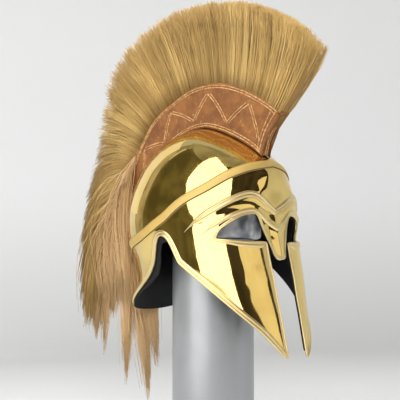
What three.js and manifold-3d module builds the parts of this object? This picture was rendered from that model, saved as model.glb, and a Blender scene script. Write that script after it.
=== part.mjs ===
// Corinthian helmet in polished brass with a horsehair crest, on a plain column stand.
// Millimetres, +Z up. The helmet faces -Y and the wearer's left is +X.
// The origin is the centre of the stand's foot, on the surface that it stands on.

import * as THREE from 'three';
import { mergeVertices } from 'three/addons/utils/BufferGeometryUtils.js';
import Module from 'manifold-3d';

const wasm = await Module();
wasm.setup();

// Shell sizes
const SHELL_HEIGHT = 310;
const SHELL_WIDTH = 188;
const FRONT_REACH = 136;
const NAPE_REACH = 138;
const DOME_RISE = 134;
const SHELL_WALL = 1.8;
const TIP_LIFT = 124;
const NAPE_SQUARENESS = 2.1;
const SIDE_BLEND = 0.17;

// Openings of the face
const SLOT_WIDTH = 41;
const SLOT_TIP_SHARE = 0.85;
const SLOT_TIP_LEVEL = -8;
const EYE_LEVEL = 150;
const EYE_SPAN = 157;
const EYE_HEIGHT = 36;
const NOSE_WIDTH = 26;

// Raised work on the shell
const RELIEF_SINK = 0.8;
const RELIEF_TOP_SHARE = 0.72;
const RIM_WIDTH = 9;
const RIM_RISE = 1.3;
const BAND_WIDTH = 11.5;
const BAND_RISE = 1.4;
const BROW_WIDTH = 7;
const BROW_RISE = 2.6;
const NOSE_KEEL_WIDTH = 9;
const NOSE_KEEL_RISE = 3.2;

// Lining
const FIT_GAP = 0.3;
const LINING_GAP = 0.9;
const LINING_WALL = 1.5;

// Crest box and hair
const CREST_GAP = 0.4;
const CREST_PIVOT_FORWARD = -10;
const CREST_PIVOT_LEVEL = 190;
const CREST_RADIUS = 180;
const BACKING_SHARE = 0.86;
const CREST_THICKNESS = 17;
const LEATHER_WALL = 2.5;
const CREST_START_LEVEL = 262;
const CREST_END_LEVEL = 166;
const CREST_FRONT_HOLLOW = 6;
const CREST_FRONT_HOLLOW_AT = 0.55;
const HAIR_RADIUS = 295;
const HAIR_SPREAD = 46;
const HAIR_PARTING = 0.15;
const TAIL_DROP = 230;
const TAIL_SPREAD = 60;
const TAIL_BACKING = 14;
const TAIL_CLEARANCE = 3;
const TAIL_SEAT_FORWARD = 1.5;
const TAIL_SEAT_DROP = 1;
const TAIL_SEAT_LEAN = 0.5;

// Stand
const COLUMN_DIAMETER = 111;
const CAP_DIAMETER = 132;
const CAP_BOTTOM = 281;
const CAP_GAP = 0.9;
const EDGE_ROUND = 3;

// Facets
const TURN_STEPS = 44;
const LINING_TURN_STEPS = 32;
const DOME_STEPS = 8;
const CREST_STEPS = 22;
const CROWN_LINE_STEPS = 9;
const CAP_SIDES = 32;
const CAP_DOME_STEPS = 7;
const CAP_LEVELS = 400;
const HAIR_STEPS = 4;
const LOCKS_IN_GROUP = 4;
const LOCKS_IN_TAIL = 6;
const HALVINGS = 40;

const COLOURS = {
  brass: { color: 0xd9b65f, roughness: 0.12, metalness: 1 },
  lining: { color: 0x0b0b0c, roughness: 0.85, metalness: 0 },
  leather: { color: 0xb0653c, roughness: 0.6, metalness: 0 },
  hair: { color: 0xc69f66, roughness: 0.55, metalness: 0 },
  stand: { color: 0x9a9da0, roughness: 0.45, metalness: 0.6 },
};

// Level sections of the shell from crown to below the cheek tips. Height is a share of
// SHELL_HEIGHT, centre and front of FRONT_REACH, nape of NAPE_REACH, cheek and neck of half
// the SHELL_WIDTH. Face is how square the front half is: 2 is an ellipse.
const SECTIONS = [
  { height: 1.0, centre: -0.088, front: 0.66, nape: 0.928, cheek: 1.0, neck: 1.0, face: 2.0 },
  { height: 0.942, centre: -0.074, front: 0.853, nape: 0.928, cheek: 1.0, neck: 1.0, face: 2.0 },
  { height: 0.894, centre: -0.059, front: 0.949, nape: 0.935, cheek: 1.0, neck: 1.0, face: 2.0 },
  { height: 0.819, centre: -0.029, front: 1.0, nape: 0.964, cheek: 1.0, neck: 1.0, face: 2.0 },
  { height: 0.745, centre: 0, front: 0.926, nape: 0.993, cheek: 1.0, neck: 1.0, face: 2.1 },
  { height: 0.687, centre: 0, front: 0.882, nape: 1.0, cheek: 1.0, neck: 1.0, face: 2.3 },
  { height: 0.613, centre: 0, front: 0.82, nape: 1.0, cheek: 1.0, neck: 1.0, face: 2.7 },
  { height: 0.545, centre: 0, front: 0.831, nape: 0.993, cheek: 0.989, neck: 0.989, face: 2.8 },
  { height: 0.494, centre: 0, front: 0.86, nape: 0.971, cheek: 0.979, neck: 0.957, face: 2.8 },
  { height: 0.406, centre: 0, front: 0.904, nape: 0.884, cheek: 0.968, neck: 0.872, face: 2.8 },
  { height: 0.335, centre: 0, front: 0.949, nape: 0.855, cheek: 0.947, neck: 0.83, face: 2.8 },
  { height: 0.258, centre: 0, front: 0.985, nape: 0.92, cheek: 0.915, neck: 0.894, face: 2.8 },
  { height: 0.2, centre: 0, front: 1.02, nape: 0.98, cheek: 0.878, neck: 0.93, face: 2.8 },
  { height: 0.084, centre: 0, front: 1.081, nape: 1.0, cheek: 0.809, neck: 0.94, face: 2.8 },
  { height: 0, centre: 0, front: 1.125, nape: 1.0, cheek: 0.723, neck: 0.94, face: 2.8 },
  { height: -0.08, centre: 0, front: 1.147, nape: 1.0, cheek: 0.65, neck: 0.94, face: 2.8 },
];

// Lower edge seen from the side: forward is a share of FRONT_REACH, back of NAPE_REACH
// (negative), height a share of SHELL_HEIGHT.
const CHEEK_EDGE = [
  { forward: 1.115, height: 0.002 },
  { forward: 0.968, height: 0.109 },
  { forward: 0.756, height: 0.203 },
  { forward: 0.504, height: 0.297 },
  { forward: 0.184, height: 0.397 },
];
const NAPE_EDGE = [
  { forward: 0.184, height: 0.397 },
  { forward: 0.108, height: 0.454 },
  { forward: 0.03, height: 0.5 },
  { forward: -0.058, height: 0.516 },
  { forward: -0.125, height: 0.495 },
  { forward: -0.188, height: 0.445 },
  { forward: -0.258, height: 0.392 },
  { forward: -0.366, height: 0.346 },
  { forward: -0.493, height: 0.31 },
  { forward: -0.638, height: 0.272 },
  { forward: -0.797, height: 0.239 },
  { forward: -0.928, height: 0.213 },
  { forward: -1.06, height: 0.197 },
];

// Face opening seen from the front, left half. Side is a share of half the EYE_SPAN,
// height is a share of EYE_HEIGHT above the lower edge of the eye.
const EYE_EDGE = [
  { side: 1.0, height: 0.1 },
  { side: 0.955, height: 0.42 },
  { side: 0.84, height: 0.68 },
  { side: 0.65, height: 0.93 },
  { side: 0.45, height: 1.0 },
  { side: 0.37, height: 0.86 },
];
const EYE_LOWER = [
  { side: 1.0, height: 0.1 },
  { side: 0.87, height: 0.06 },
  { side: 0.66, height: 0.01 },
];

// Side edge of the nose guard: half width as a share of half the NOSE_WIDTH, drop below
// the eye's lower edge as a share of SHELL_HEIGHT.
const NOSE_EDGE = [
  { side: 1.55, drop: -0.03 },
  { side: 1.0, drop: 0.028 },
  { side: 0.8, drop: 0.058 },
  { side: 0.45, drop: 0.071 },
  { side: 0, drop: 0.075 },
];

// Keel of the nose guard, down its middle, as shares of SHELL_HEIGHT.
const KEEL_HEIGHTS = [0.6, 0.55, 0.5, 0.45, 0.4];

// Raised lines on the shell: turn is in degrees from the front, height a share of
// SHELL_HEIGHT.
const BAND_PATH = [
  { turn: 0, height: 0.817 },
  { turn: 14, height: 0.808 },
  { turn: 28, height: 0.794 },
  { turn: 43.5, height: 0.763 },
  { turn: 58.5, height: 0.71 },
  { turn: 75, height: 0.655 },
  { turn: 92.5, height: 0.582 },
  { turn: 115.5, height: 0.512 },
  { turn: 145, height: 0.48 },
  { turn: 180, height: 0.474 },
];
const BROW_PATH = [
  { turn: 72, height: 0.525 },
  { turn: 62, height: 0.572 },
  { turn: 51, height: 0.615 },
  { turn: 37, height: 0.664 },
  { turn: 23.5, height: 0.681 },
  { turn: 8.5, height: 0.638 },
  { turn: 0, height: 0.611 },
];
const LID_PATH = [
  { turn: 61.5, height: 0.502 },
  { turn: 50, height: 0.553 },
  { turn: 39, height: 0.591 },
  { turn: 28, height: 0.613 },
  { turn: 19.5, height: 0.612 },
  { turn: 10, height: 0.572 },
  { turn: 0, height: 0.535 },
];

// How hair opens out from its root: swell is the half turn of the sine that its width
// follows, full the share of its spread that it reaches. A lock is longest and widest in
// its middle, and where it meets the next it has only the shares given by part and thin.
const HAIR_FORM = { swell: 2.1, full: 0.95, part: 0.9, thin: 0.68, second: 0.97 };
const TAIL_FORM = { swell: 2.0, full: 0.9, part: 0.88, thin: 0.7, belly: 1.03, lean: 0.35 };

// Crest seen from the side, round a pivot inside the dome: root is the angle from the
// front at which hair leaves the box, box the outer edge of the leather as a share of
// CREST_RADIUS, tip and reach the angle and the share of HAIR_RADIUS where the hair ends.
const CREST_ROWS = [
  { root: 42, box: 1.065, tip: 46.5, reach: 0.98 },
  { root: 55, box: 1.028, tip: 61.5, reach: 1.0 },
  { root: 68, box: 1.017, tip: 73, reach: 1.0 },
  { root: 80.5, box: 1.014, tip: 85, reach: 0.995 },
  { root: 96, box: 1.0, tip: 100, reach: 1.0 },
  { root: 113, box: 0.967, tip: 116, reach: 1.0 },
  { root: 125, box: 0.965, tip: 128.5, reach: 0.98 },
  { root: 138.5, box: 0.934, tip: 144, reach: 0.9 },
  { root: 150, box: 0.917, tip: 160, reach: 0.85 },
  { root: 158.5, box: 0.92, tip: 176, reach: 0.86 },
  { root: 169, box: 0.917, tip: 191, reach: 0.93 },
  { root: 178, box: 0.911, tip: 203, reach: 0.98 },
  { root: 187, box: 0.886, tip: 212, reach: 1.0 },
];
const HAIR_GROUPS = [
  { name: 'crest_hair_front', from: 0, to: 2 },
  { name: 'crest_hair_top', from: 2, to: 4 },
  { name: 'crest_hair_crown', from: 4, to: 6 },
  { name: 'crest_hair_rear', from: 6, to: 8 },
  { name: 'crest_hair_nape', from: 8, to: 10 },
  { name: 'crest_hair_fall', from: 10, to: 12 },
];

// Hanging tail, from the outer to the inner lock: reach is a share of NAPE_REACH behind the
// pivot line, drop a share of TAIL_DROP below the end of the crest box.
const TAIL_ROWS = [
  { across: 0, reach: 1.9, drop: 0.6 },
  { across: 0.14, reach: 1.74, drop: 0.68 },
  { across: 0.3, reach: 1.6, drop: 0.7 },
  { across: 0.45, reach: 1.4, drop: 0.84 },
  { across: 0.6, reach: 1.27, drop: 0.78 },
  { across: 0.8, reach: 1.05, drop: 1.0 },
  { across: 1, reach: 0.93, drop: 0.74 },
];

// Value of a table's column at a height, smooth and without overshoot.
function columnAt(rows, key, column, at) {
  const sorted = rows[0][key] < rows[rows.length - 1][key] ? rows : [...rows].reverse();
  const xs = sorted.map((row) => row[key]);
  const ys = sorted.map((row) => row[column]);
  const last = xs.length - 1;
  if (at <= xs[0]) return ys[0];
  if (at >= xs[last]) return ys[last];
  const rise = xs.slice(1).map((x, i) => (ys[i + 1] - ys[i]) / (x - xs[i]));
  const slope = ys.map((_, i) => {
    if (i === 0) return rise[0];
    if (i === last) return rise[last - 1];
    return rise[i - 1] * rise[i] <= 0 ? 0 : (2 * rise[i - 1] * rise[i]) / (rise[i - 1] + rise[i]);
  });
  const i = xs.findIndex((x) => x > at) - 1;
  const span = xs[i + 1] - xs[i];
  const t = (at - xs[i]) / span;
  const t2 = t * t;
  const t3 = t2 * t;
  return (2 * t3 - 3 * t2 + 1) * ys[i] + (t3 - 2 * t2 + t) * span * slope[i]
    + (3 * t2 - 2 * t3) * ys[i + 1] + (t3 - t2) * span * slope[i + 1];
}

// Evenly spaced points of a smooth curve through points.
function smoothPoints(points, count) {
  return new THREE.SplineCurve(points).getPoints(count);
}

// Point of the shell's outer face, or of a face that lies inset inside it. Turn is in
// degrees from the front towards the wearer's left, level is above the cheek tips.
function shellPoint(turn, level, inset = 0) {
  const rise = DOME_RISE - inset;
  const domeStart = SHELL_HEIGHT - DOME_RISE;
  const up = Math.min(1, Math.max(0, (level - domeStart) / rise));
  const height = (domeStart + up * DOME_RISE) / SHELL_HEIGHT;
  const at = level > domeStart ? height : level / SHELL_HEIGHT;
  const close = Math.sqrt(1 - up * up);
  const angle = THREE.MathUtils.degToRad(turn);
  const forward = Math.cos(angle);
  const side = Math.sin(angle);
  const ahead = forward >= 0;
  const power = ahead ? columnAt(SECTIONS, 'height', 'face', at) : NAPE_SQUARENESS;
  const reach = ahead ? FRONT_REACH * columnAt(SECTIONS, 'height', 'front', at)
    : NAPE_REACH * columnAt(SECTIONS, 'height', 'nape', at);
  const nearFace = THREE.MathUtils.smoothstep(forward, -SIDE_BLEND, SIDE_BLEND);
  const half = (SHELL_WIDTH / 2) * THREE.MathUtils.lerp(
    columnAt(SECTIONS, 'height', 'neck', at),
    columnAt(SECTIONS, 'height', 'cheek', at),
    nearFace,
  );
  const even = (Math.abs(forward) ** power + Math.abs(side) ** power) ** (-1 / power);
  const centre = FRONT_REACH * columnAt(SECTIONS, 'height', 'centre', at);
  return new THREE.Vector3(
    close * (half - inset) * side * even,
    -(centre + close * (reach - inset) * forward * even),
    level,
  );
}

// Outward direction of the shell's face at a turn and level.
function shellNormal(turn, level) {
  const step = 0.5;
  const across = shellPoint(turn + step, level).sub(shellPoint(turn - step, level));
  const upward = shellPoint(turn, level + step).sub(shellPoint(turn, level - step));
  return across.cross(upward).normalize();
}

// Turn at which the shell, at a level, is that far forward or that far to the side.
function turnWhere(level, measure, target, low, high) {
  let a = low;
  let b = high;
  const lowAbove = measure(shellPoint(low, level)) > target;
  for (let i = 0; i < HALVINGS; i += 1) {
    const middle = (a + b) / 2;
    const sameSide = measure(shellPoint(middle, level)) > target === lowAbove;
    if (sameSide) {
      a = middle;
    } else {
      b = middle;
    }
  }
  return (a + b) / 2;
}

function turnAtForward(level, forward) {
  return turnWhere(level, (p) => -p.y, forward, 0, 180);
}

function turnAtSide(level, side) {
  return turnWhere(level, (p) => p.x, side, 0, 90);
}

// Closed mesh through rings of points, with a fan or a tip at each end.
function loft(rings, tip = null) {
  const count = rings[0].length;
  const points = rings.flat();
  const triangles = [];
  for (let r = 0; r + 1 < rings.length; r += 1) {
    for (let s = 0; s < count; s += 1) {
      const a = r * count + s;
      const b = r * count + ((s + 1) % count);
      triangles.push(a, b, b + count, a, b + count, a + count);
    }
  }
  const top = (rings.length - 1) * count;
  for (let s = 1; s + 1 < count; s += 1) {
    triangles.push(0, s + 1, s);
    if (!tip) triangles.push(top, top + s, top + s + 1);
  }
  if (tip) {
    points.push(tip);
    for (let s = 0; s < count; s += 1) {
      triangles.push(top + s, top + ((s + 1) % count), points.length - 1);
    }
  }
  return outwardGeometry(points, triangles);
}

// Geometry from points and triangles, turned so that its faces point out.
function outwardGeometry(points, triangles) {
  let volume = 0;
  for (let i = 0; i < triangles.length; i += 3) {
    const [a, b, c] = [points[triangles[i]], points[triangles[i + 1]], points[triangles[i + 2]]];
    volume += a.dot(new THREE.Vector3().crossVectors(b, c));
  }
  const index = [];
  for (let i = 0; i < triangles.length; i += 3) {
    const [a, b, c] = [triangles[i], triangles[i + 1], triangles[i + 2]];
    index.push(a, volume > 0 ? b : c, volume > 0 ? c : b);
  }
  const geometry = new THREE.BufferGeometry();
  const places = points.flatMap((p) => p.toArray());
  geometry.setAttribute('position', new THREE.Float32BufferAttribute(places, 3));
  geometry.setIndex(index);
  return geometry;
}

function solidOf(geometry) {
  const bare = geometry.clone();
  bare.deleteAttribute('normal');
  bare.deleteAttribute('uv');
  const merged = mergeVertices(bare, 1e-4);
  return new wasm.Manifold(new wasm.Mesh({
    numProp: 3,
    vertProperties: new Float32Array(merged.attributes.position.array),
    triVerts: new Uint32Array(merged.index.array),
  }));
}

function geometryOf(solid) {
  const mesh = solid.getMesh();
  const geometry = new THREE.BufferGeometry();
  const places = new Float32Array(mesh.vertProperties);
  geometry.setAttribute('position', new THREE.BufferAttribute(places, 3));
  geometry.setIndex(new THREE.BufferAttribute(new Uint32Array(mesh.triVerts), 1));
  return geometry;
}

function joined(solids) {
  return solids.reduce((sum, solid) => sum.add(solid));
}

function piece(name, geometry, look) {
  const mesh = new THREE.Mesh(geometry, new THREE.MeshStandardMaterial(COLOURS[look]));
  mesh.name = name;
  return mesh;
}

// Levels at which the shell's and the lining's rings lie.
function ringLevels(inset) {
  const below = SECTIONS.filter((row) => row.height * SHELL_HEIGHT < SHELL_HEIGHT - DOME_RISE)
    .map((row) => row.height * SHELL_HEIGHT);
  const dome = Array.from({ length: DOME_STEPS }, (_, i) => {
    const angle = (i / DOME_STEPS) * (Math.PI / 2);
    return SHELL_HEIGHT - DOME_RISE + (DOME_RISE - inset) * Math.sin(angle);
  });
  return [...below.reverse(), ...dome];
}

// Solid dome and face, closed below the cheek tips.
function helmetForm(inset, steps) {
  const turns = Array.from({ length: steps }, (_, i) => (i * 360) / steps);
  const rings = ringLevels(inset).map((level) => (
    turns.map((turn) => shellPoint(turn, level, inset))));
  const crown = new THREE.Vector3(0, shellPoint(0, SHELL_HEIGHT).y, SHELL_HEIGHT - inset);
  return solidOf(loft(rings, crown));
}

// Raised strip with sloping sides along places on the shell.
function strip(places, width, rise) {
  const rings = places.map((place, i) => {
    const before = places[Math.max(0, i - 1)];
    const after = places[Math.min(places.length - 1, i + 1)];
    const run = after.point.clone().sub(before.point).normalize();
    const out = place.normal;
    const across = out.clone().cross(run).normalize();
    const corner = (side, height) => place.point.clone()
      .addScaledVector(across, (side * width) / 2)
      .addScaledVector(out, height);
    return [
      corner(-1, -RELIEF_SINK),
      corner(1, -RELIEF_SINK),
      corner(RELIEF_TOP_SHARE, rise),
      corner(-RELIEF_TOP_SHARE, rise),
    ];
  });
  return solidOf(loft(rings));
}

function placeAt(turn, level) {
  return { point: shellPoint(turn, level), normal: shellNormal(turn, level) };
}

// A raised line and its mirror image on the other side.
function mirrored(solid) {
  return solid.add(solid.mirror([1, 0, 0]));
}

function raisedLine(path, width, rise, steps) {
  const points = path.map((row) => new THREE.Vector2(row.turn, row.height * SHELL_HEIGHT));
  return mirrored(strip(smoothPoints(points, steps).map((p) => placeAt(p.x, p.y)), width, rise));
}

// Lower edge seen from the side, as forward and level.
function sideEdge(rows, steps) {
  const points = rows.map((row) => new THREE.Vector2(
    row.forward * (row.forward > 0 ? FRONT_REACH : NAPE_REACH),
    row.height * SHELL_HEIGHT,
  ));
  return smoothPoints(points, steps);
}

const cheekEdge = sideEdge(CHEEK_EDGE, 8);
const napeEdge = sideEdge(NAPE_EDGE, 20);

// Face opening seen from the front, as side and level, each edge on its own.
const halfSpan = EYE_SPAN / 2;
const halfSlot = SLOT_WIDTH / 2;
const eyePoint = (row) => new THREE.Vector2(
  row.side * halfSpan,
  EYE_LEVEL + row.height * EYE_HEIGHT,
);
const nosePoint = (row) => new THREE.Vector2(
  (row.side * NOSE_WIDTH) / 2,
  EYE_LEVEL - row.drop * SHELL_HEIGHT,
);
const lidEdge = smoothPoints([...EYE_EDGE.map(eyePoint), ...NOSE_EDGE.map(nosePoint)], 20);
const slotCorner = new THREE.Vector2(halfSlot, EYE_LEVEL);
const lowerEyeEdge = smoothPoints([...EYE_LOWER.map(eyePoint), slotCorner], 4);
const slotTip = new THREE.Vector2(halfSlot * SLOT_TIP_SHARE, SLOT_TIP_LEVEL);
const slotEdge = new THREE.LineCurve(slotCorner, slotTip).getPoints(4);

// Everything below the lower edge, right through from side to side.
function lowerCut() {
  const far = 2 * SHELL_HEIGHT;
  const shape = new THREE.Shape();
  shape.moveTo(far, -far);
  shape.lineTo(far, cheekEdge[0].y);
  cheekEdge.forEach((p) => shape.lineTo(p.x, p.y));
  napeEdge.slice(1).forEach((p) => shape.lineTo(p.x, p.y));
  shape.lineTo(-far, napeEdge[napeEdge.length - 1].y);
  shape.lineTo(-far, -far);
  shape.closePath();
  const cut = new THREE.ExtrudeGeometry(shape, { depth: 2 * SHELL_WIDTH, bevelEnabled: false });
  cut.rotateX(Math.PI / 2);
  cut.rotateZ(-Math.PI / 2);
  cut.translate(SHELL_WIDTH, 0, 0);
  return solidOf(cut);
}

// Eyes and face slot, cut from the front as far as the column.
function faceCut() {
  const edge = [...lidEdge.slice().reverse(), ...lowerEyeEdge.slice(1), ...slotEdge.slice(1)];
  const shape = new THREE.Shape();
  edge.forEach((p, i) => (i === 0 ? shape.moveTo(p.x, p.y) : shape.lineTo(p.x, p.y)));
  const left = [...edge].reverse().slice(0, -1);
  left.forEach((p) => shape.lineTo(-p.x, p.y));
  shape.closePath();
  const cut = new THREE.ExtrudeGeometry(shape, { depth: 2 * FRONT_REACH, bevelEnabled: false });
  cut.rotateX(Math.PI / 2);
  return solidOf(cut);
}

const belowEdge = lowerCut();
const faceOpening = faceCut();

function sidePlaces(edge) {
  return edge.map((p) => placeAt(turnAtForward(p.y, p.x), p.y));
}

function frontPlaces(edge) {
  return edge.map((p) => placeAt(turnAtSide(p.y, p.x), p.y));
}

// Brass shell: one sheet with its raised band, brows, lids, nose keel and thickened edges.
function shell() {
  const sheet = helmetForm(0, TURN_STEPS).subtract(helmetForm(SHELL_WALL, TURN_STEPS));
  const rims = [
    sidePlaces(cheekEdge.slice(0, -1)),
    sidePlaces(napeEdge.slice(1, -2)),
    frontPlaces(lidEdge),
    frontPlaces(lowerEyeEdge),
    frontPlaces(slotEdge),
  ].map((places) => mirrored(strip(places, RIM_WIDTH, RIM_RISE)));
  const keelPath = KEEL_HEIGHTS.map((height) => placeAt(0, height * SHELL_HEIGHT));
  const raised = [
    raisedLine(BAND_PATH, BAND_WIDTH, BAND_RISE, 18),
    raisedLine(BROW_PATH, BROW_WIDTH, BROW_RISE, 12),
    raisedLine(LID_PATH, RIM_WIDTH, RIM_RISE, 10),
    strip(keelPath, NOSE_KEEL_WIDTH, NOSE_KEEL_RISE),
  ];
  return joined([sheet, ...rims, ...raised]).subtract(belowEdge).subtract(faceOpening);
}

// Black lining just inside the brass, with the same openings.
function lining() {
  const outside = SHELL_WALL + LINING_GAP;
  return helmetForm(outside, LINING_TURN_STEPS)
    .subtract(helmetForm(outside + LINING_WALL, LINING_TURN_STEPS))
    .subtract(belowEdge).subtract(faceOpening);
}

// Middle line of the crown from the front of the crest over the top to its end.
function crownLine(lift) {
  const points = [];
  const frontRise = SHELL_HEIGHT - CREST_START_LEVEL;
  const backFall = SHELL_HEIGHT - CREST_END_LEVEL;
  for (let i = 0; i < CROWN_LINE_STEPS; i += 1) {
    const angle = (i / CROWN_LINE_STEPS) * (Math.PI / 2);
    const level = CREST_START_LEVEL + frontRise * Math.sin(angle);
    points.push(new THREE.Vector2(-shellPoint(0, level).y, level));
  }
  points.push(new THREE.Vector2(-shellPoint(0, SHELL_HEIGHT).y, SHELL_HEIGHT));
  for (let i = 1; i <= 2 * CROWN_LINE_STEPS; i += 1) {
    const angle = (i / (2 * CROWN_LINE_STEPS)) * (Math.PI / 2);
    const level = CREST_END_LEVEL + backFall * Math.cos(angle);
    points.push(new THREE.Vector2(-shellPoint(180, level).y, level));
  }
  return points.map((p, i) => {
    const before = points[Math.max(0, i - 1)];
    const after = points[Math.min(points.length - 1, i + 1)];
    const run = after.clone().sub(before).normalize();
    return new THREE.Vector2(p.x + run.y * lift, p.y - run.x * lift);
  });
}

// Point at an angle and distance from the crest's pivot, as forward and level.
function crestPoint(angle, radius) {
  const turn = THREE.MathUtils.degToRad(angle);
  return new THREE.Vector2(
    CREST_PIVOT_FORWARD + radius * Math.cos(turn),
    CREST_PIVOT_LEVEL + radius * Math.sin(turn),
  );
}

function boxEdgeAt(angle) {
  return crestPoint(angle, CREST_RADIUS * columnAt(CREST_ROWS, 'root', 'box', angle));
}

function hairTipAt(angle) {
  return crestPoint(
    columnAt(CREST_ROWS, 'root', 'tip', angle),
    HAIR_RADIUS * columnAt(CREST_ROWS, 'root', 'reach', angle),
  );
}

const firstRoot = CREST_ROWS[0].root;
const lastRoot = CREST_ROWS[CREST_ROWS.length - 1].root;
const rootHalf = CREST_THICKNESS / 2 - LEATHER_WALL - FIT_GAP;

// Closed ring round places in the crest's plane, each with its own half thickness.
function ringAround(places, halves) {
  const right = places.map((p, i) => new THREE.Vector3(-halves[i], -p.x, p.y));
  const left = places.map((p, i) => new THREE.Vector3(halves[i], -p.x, p.y));
  return [...right, ...left.reverse()];
}

// Flat piece in the crest's plane from one side value to another.
function crestSlab(outline, from, to) {
  const shape = new THREE.Shape();
  outline.forEach((p, i) => (i === 0 ? shape.moveTo(p.x, p.y) : shape.lineTo(p.x, p.y)));
  shape.closePath();
  const slab = new THREE.ExtrudeGeometry(shape, { depth: to - from, bevelEnabled: false });
  slab.rotateX(Math.PI / 2);
  slab.rotateZ(-Math.PI / 2);
  slab.translate(to, 0, 0);
  return slab;
}

// One leather side of the crest box, whose front edge is hollowed and whose upper front
// corner turns forward.
function crestSide(from, to) {
  const outer = Array.from({ length: CREST_STEPS + 1 }, (_, i) => (
    boxEdgeAt(firstRoot + ((lastRoot - firstRoot) * i) / CREST_STEPS)));
  const inner = crownLine(CREST_GAP).reverse();
  const foot = inner[inner.length - 1];
  const middle = foot.clone().lerp(outer[0], CREST_FRONT_HOLLOW_AT);
  middle.x -= CREST_FRONT_HOLLOW;
  const front = new THREE.QuadraticBezierCurve(foot, middle, outer[0]).getPoints(5);
  return crestSlab([...outer, ...inner, ...front.slice(1, -1)], from, to);
}

// Path of hair from the box's edge to its tip, as forward and level.
function hairLine(angle) {
  const root = boxEdgeAt(angle);
  const tip = hairTipAt(angle);
  const out = root.clone().sub(new THREE.Vector2(CREST_PIVOT_FORWARD, CREST_PIVOT_LEVEL)).normalize();
  const bend = root.clone().addScaledVector(out, 0.5 * root.distanceTo(tip));
  return new THREE.QuadraticBezierCurve(root, bend, tip);
}

// Standing hair between two rows of the crest's table: a backing between the leather
// sides, and locks side by side that are fused to it.
function hairGroup(group) {
  const start = CREST_ROWS[group.from].root + HAIR_PARTING;
  const end = CREST_ROWS[group.to].root - HAIR_PARTING;
  const marks = 2 * LOCKS_IN_GROUP;
  const angles = Array.from({ length: marks + 1 }, (_, i) => start + ((end - start) * i) / marks);
  const even = angles.map(() => rootHalf);
  const backing = angles.map((angle) => crestPoint(angle, CREST_RADIUS * BACKING_SHARE));
  const rings = [ringAround(backing, even), ringAround(angles.map(boxEdgeAt), even)];
  for (let step = 1; step <= HAIR_STEPS; step += 1) {
    const t = step / HAIR_STEPS;
    const open = Math.sin(t * HAIR_FORM.swell) * HAIR_FORM.full;
    const spread = THREE.MathUtils.lerp(rootHalf, HAIR_SPREAD / 2, open);
    const places = angles.map((angle, i) => {
      const middle = i % 4 === 1 ? 1 : HAIR_FORM.second;
      return hairLine(angle).getPoint(t * (i % 2 === 1 ? middle : HAIR_FORM.part));
    });
    rings.push(ringAround(places, angles.map((_, i) => spread * (i % 2 === 1 ? 1 : HAIR_FORM.thin))));
  }
  return loft(rings);
}

// Path of hair in the tail from its root, as forward and level.
function tailLine(root, share, length) {
  const tip = new THREE.Vector2(
    -NAPE_REACH * columnAt(TAIL_ROWS, 'across', 'reach', share),
    CREST_END_LEVEL - TAIL_DROP * columnAt(TAIL_ROWS, 'across', 'drop', share) * length,
  );
  const bend = new THREE.Vector2(
    root.x * TAIL_FORM.belly + TAIL_FORM.lean * (tip.x - root.x),
    (root.y + tip.y) / 2,
  );
  return new THREE.QuadraticBezierCurve(root, bend, tip);
}

// Hair that hangs from the lower end of the crest box, in locks side by side that are
// fused to a backing between the leather sides.
function tail() {
  const marks = 2 * LOCKS_IN_TAIL;
  const across = Array.from({ length: marks + 1 }, (_, i) => i / marks);
  const outer = crestPoint(lastRoot, CREST_RADIUS * BACKING_SHARE)
    .add(new THREE.Vector2(TAIL_SEAT_FORWARD, -TAIL_SEAT_DROP));
  const inner = new THREE.Vector2(
    -shellPoint(180, CREST_END_LEVEL).y - TAIL_CLEARANCE,
    CREST_END_LEVEL,
  );
  const backingOuter = outer.clone().add(new THREE.Vector2(TAIL_SEAT_LEAN, TAIL_BACKING));
  const backingInner = inner.clone().add(new THREE.Vector2(0, TAIL_BACKING));
  const roots = across.map((share) => outer.clone().lerp(inner, share));
  const tops = across.map((share) => backingOuter.clone().lerp(backingInner, share));
  const even = across.map(() => rootHalf);
  const rings = [ringAround(tops, even), ringAround(roots, even)];
  const steps = HAIR_STEPS + 1;
  for (let step = 1; step <= steps; step += 1) {
    const t = step / steps;
    const open = Math.sin(t * TAIL_FORM.swell) * TAIL_FORM.full;
    const spread = THREE.MathUtils.lerp(rootHalf, TAIL_SPREAD / 2, open);
    const places = across.map((share, i) => (
      tailLine(roots[i], share, i % 2 === 1 ? 1 : TAIL_FORM.part).getPoint(t)));
    rings.push(ringAround(places, across.map((_, i) => spread * (i % 2 === 1 ? 1 : TAIL_FORM.thin))));
  }
  return loft(rings);
}

// Turned solid from a half profile of radius and height.
function turned(points, sides) {
  const profile = points.map(([radius, height]) => new THREE.Vector2(radius, height));
  const geometry = new THREE.LatheGeometry(profile, sides);
  geometry.rotateX(Math.PI / 2);
  return geometry;
}

function column() {
  const radius = COLUMN_DIAMETER / 2;
  const top = CAP_BOTTOM - FIT_GAP;
  return turned([[0, 0], [radius, 0], [radius, top], [0, top]], CAP_SIDES);
}

// Clear distance from the column's axis to the lining at a level above the cheek tips.
function roomAt(level) {
  const inset = SHELL_WALL + LINING_GAP + LINING_WALL + CAP_GAP;
  const points = Array.from({ length: LINING_TURN_STEPS }, (_, i) => (
    shellPoint((i * 360) / LINING_TURN_STEPS, level, inset)));
  const ahead = -shellPoint(0, level, inset).y;
  return ahead <= 0 ? 0 : Math.min(...points.map((p) => Math.hypot(p.x, p.y)));
}

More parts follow.
